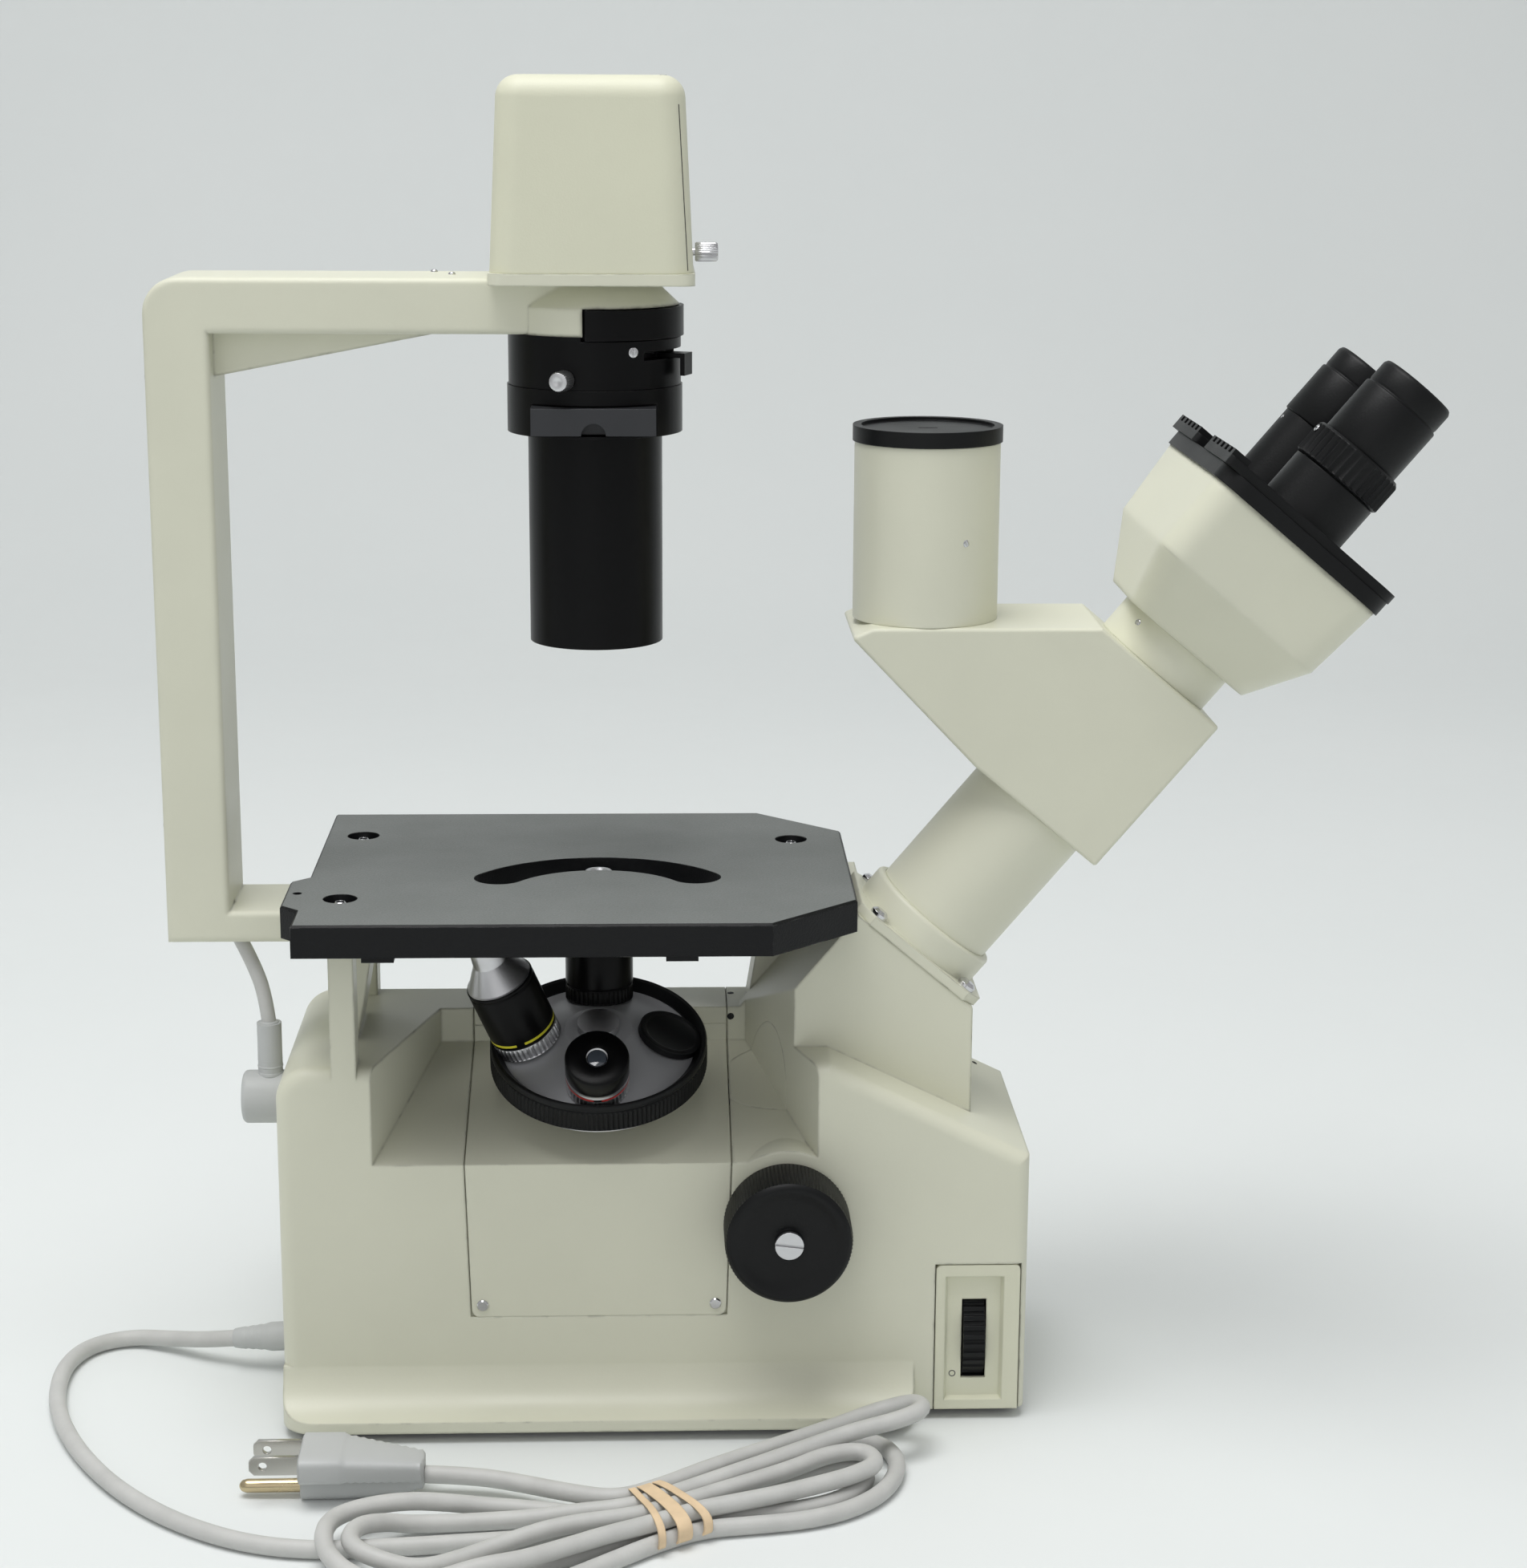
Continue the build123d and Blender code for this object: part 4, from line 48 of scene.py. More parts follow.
# Sizes that the frame shares with the looks
NECK_ANGLE = radians(50.0)
MIRROR_HEIGHT = 30.6
EYEPIECE_N = -3.3
EYEPIECE_Y = 32.0
TURRET_Y = -23.5
TURRET_HEIGHT = 136.8
TURRET_TILT = radians(20.0)
TURRET_PITCH = 25.0
FOCUS_X = 66.7
FOCUS_HEIGHT = 77.3
CORD_RADIUS = 3.1
LEAD_RADIUS = 2.6

# Values of a noise between which a surface goes from one look to the other
NOISE_LOW = 0.3
NOISE_HIGH = 0.7
# Least height of a face's normal that counts as a top, which gets the painted top sheen
TOP_NORMAL = 0.9
# Agreement of the soft edge's normal with the face's own, where wear starts and where it is full
WEAR_START = 0.93
WEAR_FULL = 0.8
WEAR_PATCH_SCALE = 120.0
WEAR_PATCH_LOW = 0.52
WEAR_PATCH_HIGH = 0.66
GRAIN_DEPTH = 0.0002
COAT_ROUGHNESS = 0.08

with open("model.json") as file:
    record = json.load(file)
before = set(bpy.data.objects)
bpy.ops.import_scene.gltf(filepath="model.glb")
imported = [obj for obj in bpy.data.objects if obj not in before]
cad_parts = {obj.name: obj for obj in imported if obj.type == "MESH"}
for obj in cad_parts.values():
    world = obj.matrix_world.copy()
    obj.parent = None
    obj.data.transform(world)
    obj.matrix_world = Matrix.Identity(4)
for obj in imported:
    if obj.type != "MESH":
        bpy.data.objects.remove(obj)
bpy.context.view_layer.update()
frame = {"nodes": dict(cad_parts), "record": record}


def linear(value):
    """One sRGB channel, 0 to 255, as linear light."""
    share = value / 255
    if share <= 0.04045:
        return share / 12.92
    return ((share + 0.055) / 1.055) ** 2.4


def rgb(red, green, blue):
    """A colour from its sRGB channels, 0 to 255."""
    return (linear(red), linear(green), linear(blue), 1.0)


def scaled(colour, factor):
    """A colour made darker or lighter by a factor."""
    return tuple(min(1.0, c * factor) for c in colour[:3]) + (1.0,)


class Nodes:
    """Short calls for building one material's node tree."""

    def __init__(self, name):
        self.material = bpy.data.materials.new(name)
        self.material.use_nodes = True
        self.tree = self.material.node_tree
        self.shader = self.tree.nodes["Principled BSDF"]
        self.place = self.add("ShaderNodeTexCoord").outputs["Object"]

    def add(self, kind, **values):
        node = self.tree.nodes.new(kind)
        for key, value in values.items():
            setattr(node, key, value)
        return node

    def link(self, source, target):
        self.tree.links.new(source, target)

    def noise(self, scale, detail=4.0, place=None):
        node = self.add("ShaderNodeTexNoise")
        node.inputs["Scale"].default_value = scale
        node.inputs["Detail"].default_value = detail
        self.link(place or self.place, node.inputs["Vector"])
        return node.outputs["Fac"]

    def spread(self, source, low, high, to_low=0.0, to_high=1.0):
        node = self.add("ShaderNodeMapRange")
        for index, value in enumerate((low, high, to_low, to_high), start=1):
            node.inputs[index].default_value = value
        self.link(source, node.inputs[0])
        return node.outputs[0]

    def maths(self, operation, first, second):
        node = self.add("ShaderNodeMath", operation=operation)
        for index, value in enumerate((first, second)):
            if isinstance(value, (int, float)):
                node.inputs[index].default_value = value
            else:
                self.link(value, node.inputs[index])
        return node.outputs[0]

    def mix(self, factor, first, second):
        node = self.add("ShaderNodeMix", data_type="RGBA")
        self.link(factor, node.inputs["Factor"])
        for key, value in (("A", first), ("B", second)):
            socket = [s for s in node.inputs if s.name == key and s.type == "RGBA"][0]
            if isinstance(value, tuple):
                socket.default_value = value
            else:
                self.link(value, socket)
        return [s for s in node.outputs if s.type == "RGBA"][0]


def finish(name, colour, rough, metallic=0.0, mottle=0.05, mottle_scale=30.0, grain=0.05,
           grain_scale=900.0, edge=0.0005, wear=0.0, wear_colour=None, coat=0.0, top=None, stretch=None,
           specular=0.5):
    """A surface with mottled colour, uneven gloss, fine grain, soft edges and worn ones, and, where a top
    colour is given, a painted sheen of light on the faces that look up.
    """
    n = Nodes(name)
    place = n.place
    if stretch:
        mapping = n.add("ShaderNodeMapping")
        mapping.inputs["Scale"].default_value = stretch
        n.link(n.place, mapping.inputs["Vector"])
        place = mapping.outputs["Vector"]
    coarse = n.noise(mottle_scale, 5.0, place)
    fine = n.noise(grain_scale, 3.0, place)
    patches = n.spread(coarse, NOISE_LOW, NOISE_HIGH)
    base = n.mix(patches, scaled(colour, 1 - mottle), scaled(colour, 1 + mottle))
    geometry = n.add("ShaderNodeNewGeometry")
    # A top colour paints the light that falls on the faces looking up: a painted sheen, lighter than the
    # sides.
    if top:
        split = n.add("ShaderNodeSeparateXYZ")
        n.link(geometry.outputs["Normal"], split.inputs[0])
        lit_top_mask = n.maths("GREATER_THAN", split.outputs["Z"], TOP_NORMAL)
        painted_top_sheen = n.mix(n.spread(fine, 0.35, 0.65), scaled(top, 0.9), scaled(top, 1.1))
        base = n.mix(lit_top_mask, base, painted_top_sheen)
    bevel = n.add("ShaderNodeBevel", samples=4)
    bevel.inputs["Radius"].default_value = edge
    if wear:
        dot = n.add("ShaderNodeVectorMath", operation="DOT_PRODUCT")
        n.link(bevel.outputs[0], dot.inputs[0])
        n.link(geometry.outputs["Normal"], dot.inputs[1])
        rub = n.spread(dot.outputs["Value"], WEAR_START, WEAR_FULL)
        patches = n.spread(n.noise(WEAR_PATCH_SCALE, 6.0), WEAR_PATCH_LOW, WEAR_PATCH_HIGH)
        base = n.mix(n.maths("MULTIPLY", n.maths("MULTIPLY", rub, patches), wear), base, wear_colour)
    n.link(base, n.shader.inputs["Base Color"])
    gloss = n.spread(coarse, NOISE_LOW, NOISE_HIGH, rough * 0.88, min(1.0, rough * 1.14))
    n.link(gloss, n.shader.inputs["Roughness"])
    bump = n.add("ShaderNodeBump")
    bump.inputs["Strength"].default_value = grain
    bump.inputs["Distance"].default_value = GRAIN_DEPTH
    n.link(fine, bump.inputs["Height"])
    n.link(bevel.outputs[0], bump.inputs["Normal"])
    n.link(bump.outputs[0], n.shader.inputs["Normal"])
    n.shader.inputs["Metallic"].default_value = metallic
    n.shader.inputs["Specular IOR Level"].default_value = specular
    if coat:
        n.shader.inputs["Coat Weight"].default_value = coat
        n.shader.inputs["Coat Roughness"].default_value = COAT_ROUGHNESS
    return n.material


def clear(name, colour, rough, transmission):
    """Glass with faint unevenness in its polish."""
    n = Nodes(name)
    polish = n.spread(n.noise(60.0), NOISE_LOW, NOISE_HIGH, rough, rough * 2)
    n.link(polish, n.shader.inputs["Roughness"])
    n.link(n.mix(n.noise(25.0), scaled(colour, 0.97), colour), n.shader.inputs["Base Color"])
    n.shader.inputs["Transmission Weight"].default_value = transmission
    n.shader.inputs["IOR"].default_value = 1.5
    return n.material


CREAM = rgb(216, 216, 197)
METAL_CHIP = rgb(120, 118, 110)


def cream_enamel(name, edge):
    """The stand's enamel, with edges as soft as the casting's own."""
    return finish(name, CREAM, 0.38, mottle=0.018, grain=0.12, grain_scale=700, wear=0.7,
                  wear_colour=METAL_CHIP, edge=edge)


surfaces = {
    "cream_paint": cream_enamel("cream_paint", 0.0009),
    "cream_plastic": finish("cream_plastic", rgb(216, 216, 194), 0.5, mottle=0.012, grain=0.25,
                            grain_scale=1500, edge=0.0008),
    "black_paint": finish("black_paint", rgb(20, 20, 22), 0.45, grain=0.2, wear=0.5, wear_colour=METAL_CHIP,
                          specular=0.3),
    "black_anodised": finish("black_anodised", rgb(9, 9, 10), 0.3, mottle=0.1, grain=0.08, wear=0.5,
                             wear_colour=rgb(80, 80, 82), edge=0.0004, specular=0.14),
    # Stage: near-black sides with a painted sheen of light on its tops in light grey; its edges turn light
    # grey where the edge mask meets the patch noise.
    "stage_grey": finish("stage_grey", rgb(14, 15, 17), 0.42, top=rgb(108, 111, 109), specular=0.22,
                         mottle=0.06, grain=0.6, grain_scale=1400, wear=0.45,
                         wear_colour=rgb(170, 170, 168), edge=0.0007),
    "bare_steel": finish("bare_steel", rgb(190, 190, 192), 0.28, metallic=1.0, stretch=(1, 1, 12)),
    "chrome": finish("chrome", rgb(208, 208, 210), 0.14, metallic=1.0, mottle=0.03, grain=0.02, edge=0.0002),
    "satin_aluminium": finish("satin_aluminium", rgb(205, 205, 207), 0.34, metallic=1.0, mottle=0.03,
                              grain=0.15, grain_scale=1600, edge=0.0003),
    "brass": finish("brass", rgb(190, 160, 100), 0.3, metallic=1.0),
    "black_plastic": finish("black_plastic", rgb(15, 16, 17), 0.4, mottle=0.08, grain=0.22, grain_scale=1300,
                            wear=0.35, wear_colour=rgb(90, 90, 90), edge=0.0005, specular=0.22),
    "grey_plastic": finish("grey_plastic", rgb(188, 190, 189), 0.48, mottle=0.03, grain=0.2,
                           grain_scale=1200, wear=0.3, wear_colour=rgb(110, 110, 108)),
    "cord_grey": finish("cord_grey", rgb(194, 194, 191), 0.5, mottle=0.06, mottle_scale=90, grain=0.25),
    "feet_rubber": finish("feet_rubber", rgb(34, 34, 34), 0.8, grain=0.4),
    "glass": clear("glass", rgb(238, 244, 246), 0.01, 1.0),
    "mirror": finish("mirror", rgb(225, 227, 230), 0.04, metallic=1.0, mottle=0.01, grain=0.0),
    "iron_core": finish("iron_core", rgb(92, 92, 95), 0.55, metallic=0.8, grain=0.4, stretch=(40, 1, 1)),
    "green_board": finish("green_board", rgb(60, 120, 84), 0.3, mottle=0.12, mottle_scale=200, coat=0.4),
}
eye_glass = finish("eye_glass", rgb(22, 28, 36), 0.05, mottle=0.2, grain=0.0, coat=1.0)
front_glass = finish("front_glass", rgb(70, 76, 84), 0.05, mottle=0.15, grain=0.0, coat=1.0)
yellow_band = finish("yellow_band", rgb(216, 208, 50), 0.4, mottle=0.06, mottle_scale=200)
red_band = finish("red_band", rgb(176, 44, 40), 0.4, mottle=0.06, mottle_scale=200)
seam_dark = finish("seam_dark", rgb(70, 68, 62), 0.7, grain=0.3)
mark_grey = finish("mark_grey", rgb(96, 96, 92), 0.6, grain=0.3)
band_rubber = finish("band_rubber", rgb(226, 200, 164), 0.6, mottle=0.08, mottle_scale=160, grain=0.3)
plug_plate = finish("plug_plate", rgb(196, 194, 188), 0.25, metallic=1.0, mottle=0.06)
pin_brass = finish("pin_brass", rgb(200, 184, 150), 0.25, metallic=1.0, mottle=0.06)

own_finish = {
    "head_body": cream_enamel("head_enamel", 0.004),
    "illumination_arm": cream_enamel("arm_enamel", 0.0022),
    "base_casting": cream_enamel("base_enamel", 0.0016),
    "prism_housing": cream_enamel("housing_enamel", 0.0014),
    "turret_plate": finish("turned_plate", rgb(186, 187, 190), 0.46, metallic=0.55, mottle=0.05, grain=0.12),
    "phase_slider": finish("slider_black", rgb(50, 51, 54), 0.4, mottle=0.08, grain=0.1, specular=0.35),
}
slot_of = {row["node"]: row["material_slot"] for row in frame["record"]["subparts"]}
for node, piece in frame["nodes"].items():
    for material_slot in piece.material_slots:
        material_slot.material = own_finish.get(node, surfaces[slot_of[node]])


# Places

def point(x, y, z):
    """A point given from the optical axis, in metres."""
    return Vector((OPTICAL_X + x, y, z)) * MM


def neck_point(along, across, y):
    """A point by its places along and across the inclined tube."""
    return point(
        along * cos(NECK_ANGLE) + across * sin(NECK_ANGLE),
        y,
        MIRROR_HEIGHT + along * sin(NECK_ANGLE) - across * cos(NECK_ANGLE),
    )


def axes(origin, along, side=None):
    """Origin with three unit vectors, the last of them along the piece."""
    along = Vector(along).normalized()
    side = Vector(side) if side else Vector((1, 0, 0) if abs(along.x) < 0.9 else (0, 1, 0))
    side = (side - along * side.dot(along)).normalized()
    return origin, side, along.cross(side), along


NECK_WAY = Vector((cos(NECK_ANGLE), 0, sin(NECK_ANGLE)))
NECK_ACROSS = Vector((sin(NECK_ANGLE), 0, -cos(NECK_ANGLE)))


def neck_axes(along, across, y):
    """Axes for a piece that stands along the inclined tube."""
    return axes(neck_point(along, across, y), NECK_WAY, NECK_ACROSS)


# Meshes

# Largest share of an outline's step that its eased corner takes
EASE_LIMIT = 0.4
POINTS_PER_FLUTE = 4


def signed_power(value, power):
    """A power that keeps the value's sign."""
    return abs(value) ** power * (1 if value >= 0 else -1)


def piece_of(name, vertices, faces, material, body, nodes=(), angle=38.0, spans=None):
    """A mesh piece that rides on a body and may stand for CAD nodes."""
    mesh = bpy.data.meshes.new(name)
    mesh.from_pydata([tuple(v) for v in vertices], [], faces)
    for each in material if isinstance(material, (list, tuple)) else [material]:
        mesh.materials.append(each)
    if spans:
        mesh.polygons.foreach_set("material_index", spans)
    mesh.validate()
    mesh.shade_smooth()
    mesh.set_sharp_from_angle(angle=radians(angle))
    obj = bpy.data.objects.new(name, mesh)
    bpy.context.scene.collection.objects.link(obj)
    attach(obj, body)
    if nodes:
        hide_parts(*nodes)
    return obj


def eased(outline, radius):
    """Each inner corner of an outline of (radius, height, ...) points cut back a little."""
    points = [outline[0]]
    for before, here, after in zip(outline, outline[1:], outline[2:]):
        for other in (before, after):
            step = ((other[0] - here[0]) ** 2 + (other[1] - here[1]) ** 2) ** 0.5
            share = min(radius / step, EASE_LIMIT) if step else 0
            place = (here[0] + (other[0] - here[0]) * share, here[1] + (other[1] - here[1]) * share)
            points.append(place + tuple(here[2:]))
    points.append(outline[-1])
    return points


def turned(name, place, outline, material, body, nodes=(), flutes=0, depth=0.0, closed=False,
           segments=96, sink=None, ease=0.25, duty=1.0, gap=None):
    """A turned piece. An outline point is (radius, height, material number, fluted or not).

    Flutes are cut into the fluted rings, sink lowers the surface, ease breaks the corners, and
    gap is the span of degrees in which the second material is left off.
    """
    origin, side, other, along = place
    rings = [tuple(p) + (0, 0)[len(p) - 2:] for p in outline]
    if ease and not closed:
        rings = eased(rings, ease)
    if flutes:
        segments = flutes * POINTS_PER_FLUTE
    vertices = []
    for ring in rings:
        radius, height, _, fluted = ring
        for number in range(segments):
            turn = 2 * pi * number / segments
            r = radius
            if flutes and fluted:
                r -= depth * (0.5 - 0.5 * cos(flutes * turn)) ** duty
            h = height
            if sink:
                h -= sink(radius * cos(turn), radius * sin(turn), radius, height)
            vertices.append(origin + (side * (r * cos(turn)) + other * (r * sin(turn)) + along * h) * MM)
    faces = []
    spans = []
    count = len(rings)
    for row in range(count if closed else count - 1):
        nxt = (row + 1) % count
        for number in range(segments):
            after = (number + 1) % segments
            faces.append((row * segments + number, row * segments + after,
                          nxt * segments + after, nxt * segments + number))
            bare = gap and rings[nxt][2] == 1 and gap[0] < 360 * number / segments < gap[1]
            spans.append(0 if bare else rings[nxt][2])
    if not closed:
        for row, flip in ((0, True), (count - 1, False)):
            radius, height, number, _ = rings[row]
            if radius < 0.01:
                continue
            ring = [row * segments + k for k in range(segments)]
            faces.append(tuple(reversed(ring)) if flip else tuple(ring))
            spans.append(number)
    return piece_of(name, vertices, faces, material, body, nodes, spans=spans)


# Shares of a screw head's radius, and then of its height, for its slot or cross
SLOT_HALF_WIDTH = 0.17
CROSS_REACH = 0.62
SLOT_DEPTH = 0.45
CROSS_DEPTH = 0.5
DOME_STEPS = 14


def head(name, origin, way, radius, height, body, recess="cross", material="chrome", turn=0.0):
    """A domed screw head with a cross or a slot."""
    wide = radius * SLOT_HALF_WIDTH
    reach = radius * CROSS_REACH

    def sink(x, y, r, h):
        if h <= 0:
            return 0.0
        u, v = x * cos(turn) + y * sin(turn), -x * sin(turn) + y * cos(turn)
        if recess == "slot":
            return height * SLOT_DEPTH if abs(u) < wide else 0.0
        inside = (abs(u) < wide or abs(v) < wide) and r < reach
        return height * CROSS_DEPTH * (1 - r / (reach * 1.3)) + 0.1 if inside else 0.0

    outline = [(radius * 0.5, -height), (radius, 0.0)]
    for step in range(1, DOME_STEPS):
        rise = step * pi / 2 / DOME_STEPS
        outline.append((radius * cos(rise) ** 0.7, height * sin(rise)))
    outline += [(radius * 0.1, height), (0.02, height)]
    return turned(name, axes(origin, way), outline, surfaces[material], body, segments=80,
                  sink=sink, ease=0)


def cord_curve(name, route, radius, body, slot, nodes):
    """A cord as one smooth spline through its route's control points."""
    curve = bpy.data.curves.new(name, "CURVE")
    curve.dimensions = "3D"
    spline = curve.splines.new("NURBS")
    spline.points.add(len(route) - 1)
    for place, target in zip(route, spline.points):
        target.co = (place[0] * MM, place[1] * MM, place[2] * MM, 1.0)
    spline.order_u = 3
    spline.use_endpoint_u = True
    spline.resolution_u = 10
    curve.bevel_depth = radius * MM
    curve.bevel_resolution = 5
    curve.use_fill_caps = True
    curve.materials.append(surfaces[slot])
    obj = bpy.data.objects.new(name, curve)
    bpy.context.scene.collection.objects.link(obj)
    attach(obj, body)
    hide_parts(*nodes)
    return obj


# Camera

def camera_axes():
    """The camera's right, up and backward directions."""
    level = cos(CAMERA_PITCH)
    ahead = Vector((sin(CAMERA_YAW) * level, cos(CAMERA_YAW) * level, -sin(CAMERA_PITCH)))
    right = Vector((cos(CAMERA_YAW), -sin(CAMERA_YAW), 0))
    up = right.cross(ahead)
    rolled_right = right * cos(CAMERA_ROLL) + up * sin(CAMERA_ROLL)
    rolled_up = -right * sin(CAMERA_ROLL) + up * cos(CAMERA_ROLL)
    return rolled_right, rolled_up, -ahead


camera = bpy.data.objects.new("camera", bpy.data.cameras.new("camera"))
bpy.context.scene.collection.objects.link(camera)
camera.matrix_world = Matrix.Translation(CAMERA_PLACE) @ Matrix(camera_axes()).transposed().to_4x4()
camera.data.sensor_fit = "HORIZONTAL"
camera.data.sensor_width = SENSOR_WIDTH
camera.data.lens = FOCAL_PIXELS / IMAGE_WIDTH * SENSOR_WIDTH
camera.data.clip_end = 20
bpy.context.scene.camera = camera

# Tied hank: eight strands that pass through the rubber band, then loops on both sides of it
BAND = Vector((-50.0, -130.5, 0.0))
BAND_ALONG = Vector((0.85, 0.53, 0.0)).normalized()
BAND_ACROSS = Vector((-0.53, 0.85, 0.0)).normalized()
BAND_REACH = 9.0
LOW = 3.2
HIGH = 8.7
strands = {
    "low 1": (-14.5, LOW), "low 2": (-7.5, LOW), "low 3": (-0.5, LOW), "low 4": (6.5, LOW),
    "high 1": (-11.0, HIGH), "high 2": (-4.0, HIGH), "high 3": (3.0, HIGH), "high 4": (10.0, HIGH),
}


def strand(name, rightward=True):
    """The two control points with which the cord passes under the band."""
    across, height = strands[name]
    middle = BAND + BAND_ACROSS * across
    ends = [middle - BAND_ALONG * BAND_REACH, middle + BAND_ALONG * BAND_REACH]
    return [(p.x, p.y, height) for p in (ends if rightward else reversed(ends))]


MAINS_EXIT = (-193.5, 0, 13)
mains_route = [
    MAINS_EXIT,
    (-207, 2.5, 11.4), (-220.5, 8.5, 8.2), (-234, 17, 5), (-249, 23, 3.2), (-263, 16.5, 3.2),
    (-269.5, 2, 3.2),
    (-270, -17, 3.2), (-266.5, -38, 3.2), (-259, -60, 3.2), (-247.5, -83, 3.2),
    (-232, -106, 3.2), (-212, -127, 3.2), (-188, -143, 3.2), (-164, -149.5, 3.2), (-137, -148, 3.2),
    (-107, -145, 3.2), (-80, -142, 3.2),
    *strand("low 3"),
    (-25, -115, 3.2), (-8, -104, 3.2), (6, -95, 3.2), (17.5, -92, 3.2), (23.5, -100, 3.2), (20, -110, 3.2),
    (11, -119.5, 3.2), (-3, -125.4, 3.2), (-19, -128, 3.2),
    *strand("low 2", False),
    (-68, -150.5, 3.2), (-82, -159, 3.2), (-94, -163, 3.2), (-106, -163, 3.2), (-116, -169.5, 3.2),
    (-113, -179, 3.2), (-99, -181, 3.2), (-84, -175, 3.2), (-72, -165.5, 3.2), (-61, -156.5, 3.2),
    *strand("low 1"),
    (-16.4, -135.5, 3.2), (0.9, -132.5, 3.2), (15, -126, 3.2), (27, -114.5, 3.2), (34, -98, 3.2),
    (33.5, -82, 3.2), (24, -71.8, 3.2), (9.4, -75.5, 3.2), (-8, -88, 3.2), (-27, -103.5, 3.2),
    *strand("low 4", False),
    (-76, -126.5, 3.2), (-93, -122, 3.2), (-108, -121.5, 4.2), (-120, -124, 7), (-133, -127.5, 9.6),
    (-147, -131.5, 9.7), (-156.5, -139, 9.8), (-159, -150, 9.9), (-156.5, -162, 8.5), (-148, -172.5, 6.5),
    (-135, -179, 6), (-120, -180.5, 8.5), (-107, -176.5, 11), (-92, -171, 10.6), (-80, -162, 9.6),
    (-66, -152.5, 9.2),
    *strand("high 1"),
    (-23, -131, 9.2), (-8, -126, 9.6), (6, -119.5, 9.8), (17, -113.5, 9.8), (26.5, -105, 9.8),
    (22.5, -94.5, 9.8), (9.5, -97, 9.8), (-4, -108, 9.5), (-24, -119.5, 9),
    *strand("high 2", False),
    (-81.6, -145.5, 9.2), (-98, -153, 7.5), (-114, -161.5, 5.5), (-127, -168.2, 5.8), (-139.5, -166.5, 8.6),
    (-150, -158.5, 9.9), (-149, -146.5, 10), (-141, -139.2, 8), (-132, -134.6, 4.6), (-120, -132, 3.4),
    (-106, -131, 3.4), (-90, -131.5, 4.6), (-76, -132.5, 7.2),
    *strand("high 3"),
    (-28, -114, 9.8), (-11, -104, 10.9), (6, -94, 12.2), (21, -87, 14), (35, -84, 16), (45, -77, 17),
    (42, -67.5, 15.5), (28, -66, 11), (13, -75.5, 9.7), (-4, -87.2, 9.7), (-21, -98.7, 9.7),
    (-35, -108.9, 9.7),
    *strand("high 4", False),
    (-79, -119.5, 7.6), (-96, -110, 6.7), (-112, -104.5, 6.9), (-129, -104, 7.5),
]
mains = cord_curve("mains_lead", mains_route, CORD_RADIUS, "stand", "cord_grey", ["mains_cord", "cord_hank"])


def lofted(name, sections, material, nodes=(), steps=48):
    """A closed body through sections of (x, middle y, middle z, half width, half height, squareness)."""
    vertices = []
    for x, y, z, wide, tall, power in sections:
        for number in range(steps):
            turn = 2 * pi * number / steps
            u = wide * signed_power(cos(turn), 2 / power)
            v = tall * signed_power(sin(turn), 2 / power)
            vertices.append(Vector((x, y + u, z + v)) * MM)
    faces = [tuple(reversed(range(steps)))]
    for row in range(len(sections) - 1):
        for number in range(steps):
            after = (number + 1) % steps
            faces.append((row * steps + number, row * steps + after,
                          (row + 1) * steps + after, (row + 1) * steps + number))
    faces.append(tuple(range((len(sections) - 1) * steps, len(sections) * steps)))
    return piece_of(name, vertices, faces, material, "stand", nodes, angle=50)


# Mains plug: a block with the blades and a lower lobe with the earth pin, both running to the tail
PLUG_FRONT = -171.0
PLUG_TAIL = -129.0
PLUG_Y = -104.0
PLUG_RIBS = 9
block = [
    (PLUG_FRONT, PLUG_Y, 13.8, 11.6, 4.2, 5), (PLUG_FRONT + 0.6, PLUG_Y, 13.9, 12.7, 5.0, 5),
    (PLUG_FRONT + 14, PLUG_Y, 13.9, 12.6, 5.0, 5),
]
rib_start = PLUG_FRONT + 15.0
rib_step = (PLUG_TAIL - 1 - rib_start) / (2 * PLUG_RIBS)
for rib in range(2 * PLUG_RIBS + 1):
    share = rib / (2 * PLUG_RIBS)
    groove = 0.5 if rib % 2 else 0.0
    block.append((rib_start + rib * rib_step, PLUG_Y, 13.7 - 3.2 * share, 12.4 - 5.4 * share - groove,
                  5.0 - 0.9 * share - groove * 0.7, 4))
block.append((PLUG_TAIL, PLUG_Y, 10.4, 5.8, 3.5, 3))
plug = lofted("plug_block", block, surfaces["grey_plastic"], ["mains_plug"])
lobe = [
    (PLUG_FRONT, PLUG_Y, 4.9, 5.0, 4.3, 3), (PLUG_FRONT + 0.6, PLUG_Y, 4.95, 5.8, 4.9, 3),
    (PLUG_FRONT + 16, PLUG_Y, 5.0, 5.7, 4.9, 3), (PLUG_TAIL - 8, PLUG_Y, 5.6, 4.8, 4.4, 2.6),
    (PLUG_TAIL - 0.5, PLUG_Y, 6.8, 4.2, 3.7, 2.4), (PLUG_TAIL, PLUG_Y, 7.2, 3.4, 3.0, 2.2),
]
plug_lobe = lofted("plug_earth_lobe", lobe, surfaces["grey_plastic"])
BLADE_SPREAD = 12.7
BLADE_HEIGHT = 14.5
BLADE_LENGTH = 17.0
BLADE_WIDTH = 6.3
BLADE_THICKNESS = 1.5
BLADE_CORNER = 1.6
BLADE_HOLE = 12.5
BLADE_HOLE_RADIUS = 1.6
BLADE_EASE = 0.15
BLADE_ROOT = 0.4


